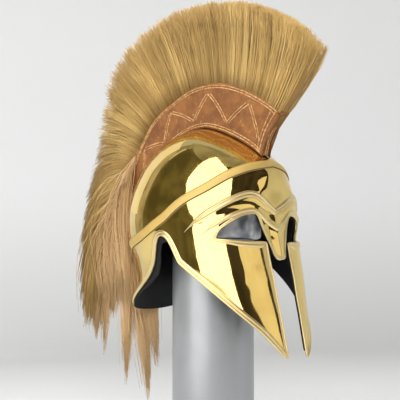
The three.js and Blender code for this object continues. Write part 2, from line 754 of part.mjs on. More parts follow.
// Rounded cap that fills the crown from inside, so that the helmet rests on it.
function cap() {
  const radius = CAP_DIAMETER / 2;
  const foot = [
    [0, CAP_BOTTOM],
    [radius - EDGE_ROUND, CAP_BOTTOM],
    [radius, CAP_BOTTOM + EDGE_ROUND],
  ];
  const domeStart = SHELL_HEIGHT - DOME_RISE;
  const levels = Array.from({ length: CAP_LEVELS }, (_, i) => (
    domeStart + (DOME_RISE * i) / CAP_LEVELS));
  const seat = levels.findLast((level) => roomAt(level) > 0);
  const shoulder = levels.findLast((level) => roomAt(level) >= radius);
  const dome = Array.from({ length: CAP_DOME_STEPS }, (_, i) => {
    const level = shoulder + (seat - shoulder) * Math.sin((i / CAP_DOME_STEPS) * (Math.PI / 2));
    return [Math.min(radius, roomAt(level)), level + TIP_LIFT];
  });
  return turned([...foot, ...dome, [0, seat + TIP_LIFT]], CAP_SIDES);
}

const helmet = new THREE.Group();
helmet.position.z = TIP_LIFT;
helmet.add(piece('shell', geometryOf(shell()), 'brass'));
helmet.add(piece('lining', geometryOf(lining()), 'lining'));

const halfCrest = CREST_THICKNESS / 2;
helmet.add(piece('crest_side_right', crestSide(-halfCrest, -halfCrest + LEATHER_WALL), 'leather'));
helmet.add(piece('crest_side_left', crestSide(halfCrest - LEATHER_WALL, halfCrest), 'leather'));
HAIR_GROUPS.forEach((group) => helmet.add(piece(group.name, hairGroup(group), 'hair')));
helmet.add(piece('crest_tail', tail(), 'hair'));

const part = new THREE.Group();
part.add(helmet);
part.add(piece('stand_column', column(), 'stand'));
part.add(piece('stand_cap', cap(), 'stand'));

export default part;
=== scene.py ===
"""Looks of a brass helmet with a horsehair crest on its stand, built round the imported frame.

The panel's operators each make one piece, or one group of like pieces. Lengths are metres,
+Z is up, the helmet faces -Y and the wearer's left is +X.
"""

import math

import bmesh
import bpy
import numpy as np
from bpy.props import FloatProperty, FloatVectorProperty, IntProperty, PointerProperty
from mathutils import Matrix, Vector, kdtree


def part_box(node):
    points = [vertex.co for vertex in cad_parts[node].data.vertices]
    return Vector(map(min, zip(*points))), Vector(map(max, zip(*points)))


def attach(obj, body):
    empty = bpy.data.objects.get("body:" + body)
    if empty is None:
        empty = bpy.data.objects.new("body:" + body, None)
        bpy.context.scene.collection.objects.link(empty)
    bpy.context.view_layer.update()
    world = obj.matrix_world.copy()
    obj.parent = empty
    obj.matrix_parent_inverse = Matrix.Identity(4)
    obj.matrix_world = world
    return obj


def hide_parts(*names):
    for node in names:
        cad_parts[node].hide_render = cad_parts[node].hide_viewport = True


bl_info = {
    "name": "Crested Helmet",
    "version": (1, 0, 0),
    "blender": (4, 5, 0),
    "location": "View3D > Sidebar > Helmet",
    "description": "Makes the brass, lining, leather, horsehair and stand of a crested helmet",
    "category": "Object",
}

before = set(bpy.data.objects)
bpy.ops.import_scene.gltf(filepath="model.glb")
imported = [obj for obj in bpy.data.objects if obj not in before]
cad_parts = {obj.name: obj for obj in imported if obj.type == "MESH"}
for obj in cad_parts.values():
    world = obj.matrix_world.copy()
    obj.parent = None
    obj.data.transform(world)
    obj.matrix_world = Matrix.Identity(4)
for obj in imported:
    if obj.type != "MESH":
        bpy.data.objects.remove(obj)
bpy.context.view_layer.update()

# Level sections of the shell from crown to below the cheek tips. Height is a share of the
# shell's height, centre and front of its front reach, nape of its nape reach, cheek and
# neck of half its width. Face is how square the front half is: 2 is an ellipse.
SECTION_COLUMNS = ("height", "centre", "front", "nape", "cheek", "neck", "face")
SECTIONS = (
    (1.0, -0.088, 0.66, 0.928, 1.0, 1.0, 2.0),
    (0.942, -0.074, 0.853, 0.928, 1.0, 1.0, 2.0),
    (0.894, -0.059, 0.949, 0.935, 1.0, 1.0, 2.0),
    (0.819, -0.029, 1.0, 0.964, 1.0, 1.0, 2.0),
    (0.745, 0.0, 0.926, 0.993, 1.0, 1.0, 2.1),
    (0.687, 0.0, 0.882, 1.0, 1.0, 1.0, 2.3),
    (0.613, 0.0, 0.82, 1.0, 1.0, 1.0, 2.7),
    (0.545, 0.0, 0.831, 0.993, 0.989, 0.989, 2.8),
    (0.494, 0.0, 0.86, 0.971, 0.979, 0.957, 2.8),
    (0.406, 0.0, 0.904, 0.884, 0.968, 0.872, 2.8),
    (0.335, 0.0, 0.949, 0.855, 0.947, 0.83, 2.8),
    (0.258, 0.0, 0.985, 0.92, 0.915, 0.894, 2.8),
    (0.2, 0.0, 1.02, 0.98, 0.878, 0.93, 2.8),
    (0.084, 0.0, 1.081, 1.0, 0.809, 0.94, 2.8),
    (0.0, 0.0, 1.125, 1.0, 0.723, 0.94, 2.8),
    (-0.08, 0.0, 1.147, 1.0, 0.65, 0.94, 2.8),
)

# Lower edge seen from the side: forward is a share of the front reach, or of the nape reach
# where it is negative, and height a share of the shell's height.
CHEEK_EDGE = ((1.115, 0.002), (0.968, 0.109), (0.756, 0.203), (0.504, 0.297), (0.184, 0.397))
NAPE_EDGE = (
    (0.184, 0.397), (0.108, 0.454), (0.03, 0.5), (-0.058, 0.516), (-0.125, 0.495), (-0.188, 0.445),
    (-0.258, 0.392), (-0.366, 0.346), (-0.493, 0.31), (-0.638, 0.272), (-0.797, 0.239),
    (-0.928, 0.213), (-1.06, 0.197),
)

# Face opening seen from the front: side is a share of half the eye span, height a share of
# the eye's height above its lower edge.
EYE_UPPER = ((1.0, 0.1), (0.955, 0.42), (0.84, 0.68), (0.65, 0.93), (0.45, 1.0), (0.37, 0.86))
EYE_LOWER = ((1.0, 0.1), (0.87, 0.06), (0.66, 0.01))

# Side edge of the nose guard: side is a share of half its width, drop a share of the
# shell's height below the eye's lower edge.
NOSE_EDGE = ((1.55, -0.03), (1.0, 0.028), (0.8, 0.058), (0.45, 0.071), (0.0, 0.075))

# Raised lines: degrees from the front and a share of the shell's height.
BAND_PATH = (
    (0, 0.817), (14, 0.808), (28, 0.794), (43.5, 0.763), (58.5, 0.71), (75, 0.655), (92.5, 0.582),
    (115.5, 0.512), (145, 0.48), (180, 0.474),
)
BROW_PATH = (
    (72, 0.525), (62, 0.572), (51, 0.615), (37, 0.664), (23.5, 0.681), (8.5, 0.638), (0, 0.611),
)
LID_PATH = (
    (61.5, 0.502), (50, 0.553), (39, 0.591), (28, 0.613), (19.5, 0.612), (10, 0.572), (0, 0.535),
)

# Section of a rolled double edge, from the outside round the underside: across and out,
# both as shares of the roll's width.
ROLL_SECTION = (
    (-0.10, -0.28), (-0.15, -0.08), (-0.10, 0.12), (0.02, 0.24), (0.16, 0.27), (0.28, 0.22),
    (0.36, 0.11), (0.40, 0.03), (0.50, 0.02), (0.54, 0.10), (0.64, 0.17), (0.76, 0.18),
    (0.88, 0.13), (0.95, 0.03), (1.00, 0.012), (1.12, 0.008), (1.14, -0.2), (0.2, -0.34),
)
# Painted shade at each point of the roll's section: darkest in the groove between the beads, under
# the roll and on the skirt beside it.
ROLL_CREASE_SHADE = (
    0.8, 0.0, 0.0, 0.0, 0.0, 0.0, 0.4, 1.0, 1.0, 0.4, 0.0, 0.0, 0.1, 0.8, 1.0, 0.0, 1.0, 1.0)

# Section of the forehead band: across and out, as shares of its width and of its rise.
BAND_SECTION = (
    (-0.60, -0.5), (-0.59, 0.05), (-0.52, 0.07), (-0.48, 0.8), (-0.43, 1.0), (-0.2, 1.2),
    (0.0, 1.25), (0.2, 1.2), (0.43, 1.0), (0.48, 0.8), (0.52, 0.07), (0.59, 0.05), (0.60, -0.5),
)
# Painted shade at each point of the band's section: dark where its sides meet the shell.
BAND_CREASE_SHADE = (0.0, 0.0, 1.0, 0.6, 0.0, 0.0, 0.0, 0.0, 0.0, 0.6, 1.0, 0.0, 0.0)

# Section of a brow fold, two beads side by side, and of a single rounded bead.
DOUBLE_BEAD = (
    (-0.62, -0.3), (-0.60, 0.03), (-0.50, 0.05), (-0.43, 0.5), (-0.31, 0.85), (-0.19, 0.8),
    (-0.09, 0.4), (-0.05, 0.25), (0.05, 0.25), (0.09, 0.4), (0.19, 0.72), (0.31, 0.72), (0.43, 0.4),
    (0.50, 0.05), (0.60, 0.03), (0.62, -0.3),
)
# Painted shade at each point of the fold's section: dark in the groove between the beads and where
# the fold meets the shell.
DOUBLE_CREASE_SHADE = (0.0, 0.0, 1.0, 0.3, 0.0, 0.0, 0.4, 1.0, 1.0, 0.4, 0.0, 0.0, 0.3, 1.0, 0.0, 0.0)
SINGLE_BEAD = (
    (-0.66, -0.3), (-0.64, 0.02), (-0.50, 0.04), (-0.34, 0.6), (-0.16, 0.93), (0.0, 1.0),
    (0.16, 0.93), (0.34, 0.6), (0.50, 0.04), (0.64, 0.02), (0.66, -0.3),
)
# Painted shade at each point of the bead's section: dark where it meets the shell.
SINGLE_CREASE_SHADE = (0.0, 0.0, 1.0, 0.0, 0.0, 0.0, 0.0, 0.0, 1.0, 0.0, 0.0)

# Crest seen from the side, round a pivot inside the dome: root is the angle at which hair
# leaves the box, box the leather's outer edge as a share of the crest's radius, tip and
# reach the angle and the share of the hair's radius where the hair ends.
CREST_COLUMNS = ("root", "box", "tip", "reach")
CREST_ROWS = (
    (42, 1.065, 46.5, 0.98),
    (55, 1.028, 61.5, 1.0),
    (68, 1.017, 73, 1.0),
    (80.5, 1.014, 85, 0.995),
    (96, 1.0, 100, 1.0),
    (113, 0.967, 116, 1.0),
    (125, 0.965, 128.5, 0.98),
    (138.5, 0.934, 144, 0.872),
    (150, 0.917, 160, 0.81),
    (158.5, 0.92, 179, 0.835),
    (169, 0.917, 196, 0.905),
    (178, 0.911, 206, 0.95),
    (187, 0.886, 214, 0.965),
)
HAIR_GROUPS = (
    ("crest_hair_front", 0, 2),
    ("crest_hair_top", 2, 4),
    ("crest_hair_crown", 4, 6),
    ("crest_hair_rear", 6, 8),
    ("crest_hair_nape", 8, 10),
    ("crest_hair_fall", 10, 12),
)

# Locks of the hanging tail, as root, over, reach, drop, side, width and weight. Root runs
# from 0, where hair leaves the box's rear edge, to 1, the inner corner of its end. Over is 1
# for locks that lie on the leather. Reach is a share of the nape reach behind the middle,
# drop a share of the tail's drop below the box's end, side a share of half the tail's
# spread. Width is in metres, and weight is a lock's share of the strands.
TAIL_LOCKS = (
    (0.05, 0, 1.90, 0.48, 0.0, 0.016, 3.0),
    (0.15, 0, 1.77, 0.61, -0.1, 0.011, 2.5),
    (0.25, 0, 1.67, 0.70, 0.1, 0.005, 1.0),
    (0.35, 0, 1.56, 0.48, 0.2, 0.014, 3.0),
    (0.45, 0, 1.42, 0.40, -0.3, 0.012, 2.5),
    (0.60, 0, 1.31, 0.86, 0.0, 0.007, 2.4),
    (0.75, 0, 1.17, 0.41, -0.3, 0.011, 2.4),
    (0.90, 0, 1.17, 0.97, 0.9, 0.011, 3.0),
    (1.00, 0, 1.09, 0.76, 1.2, 0.011, 2.2),
    (0.00, 1, 1.14, 0.37, -0.4, 0.012, 3.0),
    (0.25, 1, 1.40, 0.42, -0.4, 0.013, 2.4),
    (0.50, 1, 1.26, 0.40, -0.4, 0.012, 1.6),
)


def length(label, description, default):
    """A size in metres that a user may change."""
    return FloatProperty(name=label, description=description, default=default, unit="LENGTH",
                         subtype="DISTANCE", precision=4)


def colour(label, description, default):
    """A colour that a user may change."""
    return FloatVectorProperty(name=label, description=description, default=default,
                               subtype="COLOR", size=3, min=0.0, max=1.0)


class HelmetSizes(bpy.types.PropertyGroup):
    """Sizes of the helmet and its stand."""

    shell_height: length("Shell height", "Crown to cheek tips", 0.310)
    shell_width: length("Shell width", "Across the widest part", 0.188)
    front_reach: length("Front reach", "Middle to the forehead", 0.136)
    nape_reach: length("Nape reach", "Middle to the nape", 0.138)
    dome_rise: length("Dome rise", "Height of the rounded crown", 0.134)
    shell_wall: length("Shell wall", "Thickness of the brass", 0.0018)
    tip_lift: length("Tip lift", "Surface to the cheek tips", 0.124)
    slot_width: length("Slot width", "Face slot below the nose", 0.041)
    slot_depth: length("Slot depth", "How far the slot's line runs below the tips", 0.008)
    eye_level: length("Eye level", "Cheek tips to the eye's lower edge", 0.150)
    eye_span: length("Eye span", "Across both eyes", 0.157)
    eye_height: length("Eye height", "Lower to upper edge of an eye", 0.036)
    nose_width: length("Nose width", "Across the nose guard", 0.026)
    keel_width: length("Keel width", "Half width of the nose guard's ridge", 0.012)
    keel_rise: length("Keel rise", "Height of the nose guard's ridge", 0.0036)
    roll_width: length("Roll width", "Rolled double edge", 0.0068)
    band_width: length("Band width", "Forehead band", 0.0115)
    band_rise: length("Band rise", "Forehead band above the shell", 0.0014)
    brow_width: length("Brow width", "Brow fold", 0.0075)
    brow_rise: length("Brow rise", "Brow fold above the shell", 0.0022)
    lid_width: length("Lid width", "Fold between brow and eye", 0.0046)
    lid_rise: length("Lid rise", "Lid fold above the shell", 0.0017)
    lining_gap: length("Lining gap", "Brass to lining", 0.0009)
    lining_wall: length("Lining wall", "Thickness of the lining", 0.0015)
    pivot_forward: length("Pivot forward", "Crest's pivot from the middle", -0.010)
    pivot_level: length("Pivot level", "Crest's pivot above the cheek tips", 0.190)
    crest_radius: length("Crest radius", "Pivot to the leather's outer edge", 0.180)
    crest_thickness: length("Crest thickness", "Across both leather sides", 0.017)
    leather_wall: length("Leather wall", "Thickness of one side", 0.0025)
    crest_start: length("Crest start", "Level of the box's front foot", 0.262)
    crest_end: length("Crest end", "Level of the box's lower end", 0.166)
    crest_hollow: length("Crest hollow", "How far the front edge is hollowed", 0.016)
    hair_radius: length("Hair radius", "Pivot to the hair's tips", 0.295)
    hair_spread: length("Hair spread", "Across the brush at its tips", 0.046)
    strand: length("Strand", "Thickness of one strand", 0.00105)
    tail_drop: length("Tail drop", "Box's end to the longest lock", 0.230)
    tail_spread: length("Tail spread", "Across the tail", 0.060)
    strands: IntProperty(name="Strands", description="Strands in one block of hair",
                         default=2700, min=100, max=4000)
    seed: IntProperty(name="Seed", description="Starts the hair's random draws", default=7)


class HelmetColours(bpy.types.PropertyGroup):
    """Colours of the finishes."""

    brass: colour("Brass", "Polished brass", (0.88, 0.66, 0.24))
    brass_worn: colour("Handled brass", "Where the polish is duller", (0.80, 0.57, 0.19))
    brass_satin: colour("Satin brass", "Forehead band", (0.70, 0.52, 0.20))
    # Brown of the shade painted into the brass's grooves and along the feet of its raised lines,
    # tinted like patina.
    crease_shade_brown: colour("Patina", "Dirt in the grooves of the brass", (0.10, 0.052, 0.012))
    lining: colour("Lining", "Black leather", (0.008, 0.008, 0.009))
    leather: colour("Leather", "Crest box", (0.262, 0.102, 0.0235))
    leather_dark: colour("Dark leather", "Hollows of the grain", (0.15, 0.052, 0.0125))
    tooling: colour("Tooling", "Tooled lines", (0.60, 0.37, 0.16))
    hair_light: colour("Light hair", "Sunny strands", (0.585, 0.395, 0.145))
    hair_mid: colour("Hair", "Most strands", (0.335, 0.197, 0.053))
    hair_dark: colour("Dark hair", "Strands near the root", (0.17, 0.082, 0.02))
    stand: colour("Stand", "Satin grey metal", (0.34, 0.35, 0.365))
    # The floor's colour is darker than the wall's, as shade painted on the floor.
    floor: colour("Floor", "Floor of the studio", (0.585, 0.585, 0.57))
    backdrop: colour("Backdrop", "Wall of the studio", (0.79, 0.79, 0.78))


def sizes():
    """The sizes that are set on the scene."""
    return bpy.context.scene.helmet_sizes


def colours():
    """The colours that are set on the scene."""
    return bpy.context.scene.helmet_colours


# Shader maths

class Wire:
    """One output socket, so that shader maths reads as an expression."""

    def __init__(self, shader, socket):
        self.shader = shader
        self.socket = socket

    def _math(self, operation, first, second):
        return self.shader.node("ShaderNodeMath", {"operation": operation}, {0: first, 1: second})

    def __add__(self, other):
        return self._math("ADD", self, other)

    def __radd__(self, other):
        return self._math("ADD", other, self)

    def __sub__(self, other):
        return self._math("SUBTRACT", self, other)

    def __rsub__(self, other):
        return self._math("SUBTRACT", other, self)

    def __mul__(self, other):
        return self._math("MULTIPLY", self, other)

    def __rmul__(self, other):
        return self._math("MULTIPLY", other, self)

    def clamp(self, low=0.0, high=1.0):
        return self.shader.node("ShaderNodeClamp", {}, {"Value": self, "Min": low, "Max": high})

    def ramp(self, low, high):
        return self.shader.node("ShaderNodeMapRange", {"interpolation_type": "SMOOTHSTEP"},
                                {"Value": self, "From Min": low, "From Max": high})


class Shader:
    """A material under construction."""

    def __init__(self, name):
        self.material = bpy.data.materials.new(name)
        self.material.use_nodes = True
        self.tree = self.material.node_tree
        self.tree.nodes.clear()

    def node(self, kind, settings, values, output=0):
        """Adds a node: its settings first, then the values or links of its sockets."""
        made = self.tree.nodes.new(kind)
        for key, value in settings.items():
            if key == "stops":
                self._stops(made.color_ramp, value)
            else:
                setattr(made, key, value)
        for key, value in values.items():
            socket = made.inputs[key]
            if isinstance(value, Wire):
                self.tree.links.new(value.socket, socket)
            elif isinstance(value, (tuple, list)) or hasattr(value, "__len__"):
                plain = tuple(value)
                socket.default_value = plain + (1.0,) if socket.type == "RGBA" else plain
            else:
                socket.default_value = value
        return Wire(self, made.outputs[output]) if len(made.outputs) else None

    @staticmethod
    def _stops(ramp, stops):
        while len(ramp.elements) < len(stops):
            ramp.elements.new(1.0)
        for element, (place, tone) in zip(ramp.elements, stops):
            element.position = place
            element.color = tuple(tone) + (1.0,)

    def place(self):
        return self.node("ShaderNodeTexCoord", {}, {}, "Object")

    def stretched(self, scale):
        return self.node("ShaderNodeMapping", {}, {"Vector": self.place(), "Scale": scale})

    def noise(self, scale, detail=3.0, roughness=0.5, at=None):
        return self.node("ShaderNodeTexNoise", {}, {
            "Vector": at or self.place(),
            "Scale": scale,
            "Detail": detail,
            "Roughness": roughness,
        }, "Fac")

    def attribute(self, name):
        return self.node("ShaderNodeAttribute", {"attribute_name": name}, {}, "Fac")

    def mix(self, share, first, second):
        return self.node("ShaderNodeMix", {"data_type": "RGBA"}, {0: share, 6: first, 7: second}, 2)

    def bump(self, height, strength, distance, normal=None):
        values = {"Height": height, "Strength": strength, "Distance": distance}
        if normal is not None:
            values["Normal"] = normal
        return self.node("ShaderNodeBump", {}, values)

    def finish(self, values):
        """Ends the material in one principled shader."""
        surface = self.node("ShaderNodeBsdfPrincipled", {}, values)
        self.node("ShaderNodeOutputMaterial", {}, {"Surface": surface})
        return self.material


# Finishes

WORN_LINING = (0.02, 0.02, 0.022)
RUBBED_STAND = (0.47, 0.485, 0.5)
# Dark and near white of the reflections painted on the stand's rounded top.
CAP_REFLECTION_DARK = (0.22, 0.24, 0.27)
CAP_REFLECTION_PALE = (0.97, 0.985, 1.0)
DARK_TONE = 0.5
DARK_CLOUD = 0.3
PALE_CLOUD = 0.04


def brass_finish():
    """Mirror-polished brass: faint hammering, hair scratches, a duller bloom, and shade painted brown
    into its grooves.
    """
    sh = Shader("brass")
    tones = colours()
    # Painted shade in the creases, read from the points, darkens the colour towards a patina brown
    # and roughens it.
    dirt = sh.attribute("dirt")
    bloom = sh.noise(26.0, 4.0).ramp(0.42, 0.72)
    scratches = sh.noise(420.0, 2.0, at=sh.stretched((1.0, 1.0, 0.12))).ramp(0.56, 0.72)
    hammering = sh.noise(34.0, 1.0)
    rough = 0.045 + 0.05 * bloom + 0.05 * scratches + 0.2 * dirt
    normal = sh.bump(hammering, 0.05, 0.0012)
    clean = sh.mix(bloom * 0.7, tones.brass, tones.brass_worn)
    return sh.finish({
        "Base Color": sh.mix(dirt, clean, tones.crease_shade_brown),
        "Metallic": 1.0,
        "Roughness": rough,
        "Normal": sh.bump(scratches, 0.03, 0.0002, normal),
    })


def satin_brass_finish():
    """Brass of the forehead band, rubbed along its length, with shade painted along its edges."""
    sh = Shader("satin_brass")
    tones = colours()
    # Painted shade along the band's edges, read from the points, darkens the colour and roughens it.
    dirt = sh.attribute("dirt")
    rubbed = sh.noise(300.0, 3.0, at=sh.stretched((1.0, 1.0, 0.3)))
    cloud = sh.noise(30.0, 3.0).ramp(0.35, 0.7)
    clean = sh.mix(cloud, tones.brass_satin, tones.brass_worn)
    return sh.finish({
        "Base Color": sh.mix(dirt, clean, tones.crease_shade_brown),
        "Metallic": 0.85,
        "Roughness": 0.6 + 0.12 * rubbed + 0.1 * dirt,
        "Normal": sh.bump(rubbed, 0.06, 0.0002),
    })


def lining_finish():
    """Matt black leather with a soft grain."""
    sh = Shader("black_lining")
    tones = colours()
    grain = sh.noise(700.0, 4.0, 0.65)
    worn = sh.noise(40.0, 3.0).ramp(0.5, 0.8)
    return sh.finish({
        "Base Color": sh.mix(worn * 0.5, tones.lining, WORN_LINING),
        "Roughness": 0.62 + 0.2 * grain,
        "Specular IOR Level": 0.3,
        "Normal": sh.bump(grain, 0.35, 0.0004),
    })


def leather_finish():
    """Reddish tan leather, mottled, with pores and rubbed patches."""
    sh = Shader("tan_leather")
    tones = colours()
    mottle = sh.noise(55.0, 5.0, 0.6).ramp(0.32, 0.7)
    pores = sh.noise(900.0, 3.0, 0.6)
    creases = sh.node("ShaderNodeTexVoronoi", {"feature": "DISTANCE_TO_EDGE"},
                      {"Vector": sh.place(), "Scale": 520.0}, "Distance")
    rubbed = sh.noise(120.0, 4.0, 0.7).ramp(0.55, 0.8)
    base = sh.mix(mottle, tones.leather_dark, tones.leather)
    base = sh.mix(rubbed * 0.55, base, tones.tooling)
    height = pores * 0.6 + creases.ramp(0.0, 0.18)
    return sh.finish({
        "Base Color": base,
        "Roughness": 0.48 + 0.25 * mottle,
        "Specular IOR Level": 0.4,
        "Normal": sh.bump(height, 0.45, 0.0005),
    })


def tooling_finish():
    """Pale tooled lines, worn unevenly."""
    sh = Shader("tooled_line")
    tones = colours()
    wear = sh.noise(260.0, 4.0, 0.7).ramp(0.35, 0.68)
    return sh.finish({
        "Base Color": sh.mix(wear, tones.leather, tones.tooling),
        "Roughness": 0.6,
        "Normal": sh.bump(wear, 0.3, 0.0003),
    })


def hair_finish():
    """Blond horsehair: every strand its own tone, darker at the root."""
    sh = Shader("horsehair")
    tones = colours()
    strand = sh.attribute("tone")
    along = sh.attribute("along")
    patch = sh.noise(18.0, 3.0).ramp(0.3, 0.7)
    light = (strand * 0.75 + patch * 0.35 + along * 0.15 - 0.1).clamp()
    base = sh.mix(light, tones.hair_mid, tones.hair_light)
    base = sh.mix((1.0 - along.ramp(0.0, 0.3)) * 0.55, base, tones.hair_dark)
    return sh.finish({
        "Base Color": base,
        "Roughness": 0.42 + 0.15 * strand,
        "Specular IOR Level": 0.2,
        "Sheen Weight": 0.04,
        "Sheen Roughness": 0.5,
    })


def stand_finish():
    """Satin grey metal, brushed round the column, with faint marks."""
    sh = Shader("stand_grey")
    tones = colours()
    brushed = sh.noise(60.0, 5.0, 0.6, at=sh.stretched((1.0, 1.0, 22.0)))
    marks = sh.noise(14.0, 4.0).ramp(0.45, 0.75)
    return sh.finish({
        "Base Color": sh.mix(marks * 0.35, tones.stand, RUBBED_STAND),
        "Metallic": 0.55,
        "Roughness": 0.3 + 0.12 * brushed,
        "Normal": sh.bump(brushed, 0.05, 0.0003),
    })


def cap_finish():
    """Dented grey top of the stand, not metallic, its colour painted in pale and dark patches as the
    reflections of satin metal.
    """
    sh = Shader("stand_dented")
    dents = sh.noise(42.0, 3.0, 0.6)
    # The patches mix the colour between the dark and near white of painted reflections.
    patches = sh.noise(30.0, 2.0).ramp(0.4, 0.62)
    return sh.finish({
        "Base Color": sh.mix(patches, CAP_REFLECTION_DARK, CAP_REFLECTION_PALE),
        "Metallic": 0.0,
        "Roughness": 0.3 + 0.1 * patches,
        "Normal": sh.bump(dents, 0.5, 0.004),
    })


def backdrop_finish():
    """Smooth pale paper, with shade painted darker on the floor."""
    sh = Shader("backdrop")
    tones = colours()
    # Painted shade: the paper's colour darkens from the wall down to the floor.
    height = sh.node("ShaderNodeSeparateXYZ", {}, {"Vector": sh.place()}, "Z")
    return sh.finish({
        "Base Color": sh.mix(height.ramp(-0.15, 0.7), tones.floor, tones.backdrop),
        "Roughness": 0.9,
        "Specular IOR Level": 0.1,
    })


def card_finish(name, tone, strength):
    """A studio card that shows only in polished metal, more clouded where it is dark."""
    sh = Shader(name)
    cloud = sh.noise(1.7, 3.0).ramp(0.35, 0.65)
    clouded = DARK_CLOUD if max(tone) < DARK_TONE else PALE_CLOUD
    shade, shine = ([share * part for part in tone] for share in (1 - clouded, 1 + clouded))
    glow = sh.node("ShaderNodeEmission", {}, {
        "Color": sh.mix(cloud, shade, shine),
        "Strength": strength,
    })
    sh.node("ShaderNodeOutputMaterial", {}, {"Surface": glow})
    return sh.material


# Curves and meshes

def rows_of(columns, table):
    """A table's rows with their columns named."""
    return [dict(zip(columns, row)) for row in table]


def smooth_column(rows, key, column, at):
    """Value of a table's column at a place, smooth and without overshoot."""
    rows = sorted(rows, key=lambda row: row[key])
    xs = np.array([row[key] for row in rows], float)
    ys = np.array([row[column] for row in rows], float)
    rise = np.diff(ys) / np.diff(xs)
    slope = np.concatenate([rise[:1], np.zeros(len(xs) - 2), rise[-1:]])
    product = rise[:-1] * rise[1:]
    same = product > 0
    slope[1:-1][same] = 2 * product[same] / (rise[:-1] + rise[1:])[same]
    at = np.clip(at, xs[0], xs[-1])
    i = np.clip(np.searchsorted(xs, at, side="right") - 1, 0, len(xs) - 2)
    span = xs[i + 1] - xs[i]
    t = (at - xs[i]) / span
    return ((2 * t**3 - 3 * t**2 + 1) * ys[i] + (t**3 - 2 * t**2 + t) * span * slope[i]
            + (3 * t**2 - 2 * t**3) * ys[i + 1] + (t**3 - t**2) * span * slope[i + 1])


def spline(points, count):
    """Evenly spaced points of a smooth curve through points."""
    points = np.asarray(points, float)
    last = len(points) - 1
    at = np.linspace(0, last, count + 1)
    i = np.minimum(at.astype(int), last - 1)
    t = (at - i)[:, None]
    before, start = points[np.maximum(i - 1, 0)], points[i]
    end, after = points[i + 1], points[np.minimum(i + 2, last)]
    return 0.5 * (2 * start + (end - before) * t
                  + (2 * before - 5 * start + 4 * end - after) * t**2
                  + (3 * start - before - 3 * end + after) * t**3)


def unit(vectors):
    """Vectors brought to a length of one."""
    return vectors / np.maximum(np.linalg.norm(vectors, axis=-1, keepdims=True), 1e-12)


def smoothstep(low, high, values):
    """Rises smoothly from 0 at the low value to 1 at the high one."""
    t = np.clip((values - low) / (high - low), 0, 1)
    return t * t * (3 - 2 * t)


def ring_faces(rings, sides, closed):
    """Quads between rings of points, and an end face at each open end."""
    below = np.arange(rings if closed else rings - 1)[:, None] * sides
    above = (below + sides) % (rings * sides)
    side = np.arange(sides)[None, :]
    beside = (side + 1) % sides
    quads = np.stack([below + side, below + beside, above + beside, above + side], -1)
    faces = quads.reshape(-1, 4).tolist()
    if not closed:
        faces.append(list(range(sides))[::-1])
        faces.append(list(range((rings - 1) * sides, rings * sides)))
    return faces


class MeshParts:
    """Points and faces that are gathered into one mesh."""

    def __init__(self):
        self.points = []
        self.faces = []
        self.slots = []
        self.marks = []
        self.count = 0

    def add(self, points, faces, slot=0, mark=0.0):
        points = np.asarray(points, float).reshape(-1, 3)
        self.points.append(points)
        self.marks.append(np.broadcast_to(mark, len(points)))
        self.faces.extend([[i + self.count for i in face] for face in faces])
        self.slots.extend([slot] * len(faces))
        self.count += len(points)

    def loft(self, rings, closed=False, slot=0, marks=None):
        """Joins rings of points. Marks says how much painted shade each point of the section gets."""
        rings = np.asarray(rings, float)
        mark = 0.0 if marks is None else np.tile(marks, rings.shape[0])
        self.add(rings, ring_faces(rings.shape[0], rings.shape[1], closed), slot, mark)

    def piece(self, name, finishes):
        """Makes the object, gives it its finishes and lets it ride on the part."""
        mesh = bpy.data.meshes.new(name)
        mesh.from_pydata(np.concatenate(self.points).tolist(), [], self.faces)
        work = bmesh.new()
        work.from_mesh(mesh)
        bmesh.ops.recalc_face_normals(work, faces=work.faces)
        work.to_mesh(mesh)
        work.free()
        mesh.polygons.foreach_set("material_index", self.slots)
        mesh.polygons.foreach_set("use_smooth", [True] * len(self.faces))
        # Painted crease shade of each point, which the brass finishes darken towards a patina brown.
        dirt = mesh.attributes.new("dirt", "FLOAT", "POINT")
        dirt.data.foreach_set("value", np.concatenate(self.marks).astype(np.float32))
        mesh.update()
        return settle(name, mesh, finishes)


def linked(name, data):
    """Links new data to the scene as an object."""
    made = bpy.data.objects.new(name, data)
    bpy.context.scene.collection.objects.link(made)
    return made


def settle(name, mesh, finishes):
    """Links a mesh as a piece that rides on the part."""
    made = linked(name, mesh)
    for finish in finishes:
        mesh.materials.append(finish)
    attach(made, "root")
    return made


# Surface of the shell

# How finely the section table is sampled and over how many samples its joins are eased.
SECTION_SAMPLES = 541
SECTION_BLUR = 9
_section_cache = {}


def section_column(column, share):
    """A section table's column, with the joins between its rows eased."""
    if column not in _section_cache:
        rows = rows_of(SECTION_COLUMNS, SECTIONS)
        heights = np.linspace(SECTIONS[-1][0], 1.0, SECTION_SAMPLES)
        values = smooth_column(rows, "height", column, heights)
        reach = 3 * SECTION_BLUR
        kernel = np.exp(-0.5 * (np.arange(-reach, reach + 1) / SECTION_BLUR) ** 2)
        padded = np.concatenate([
            2 * values[0] - values[reach:0:-1],
            values,
            2 * values[-1] - values[-2:-reach - 2:-1],
        ])
        _section_cache[column] = (heights, np.convolve(padded, kernel / kernel.sum(), "valid"))
    heights, values = _section_cache[column]
    return np.interp(share, heights, values)


# How square the rear half is, and how far the cheek's width blends into the neck's.
NAPE_SQUARENESS = 2.1
SIDE_BLEND = 0.17


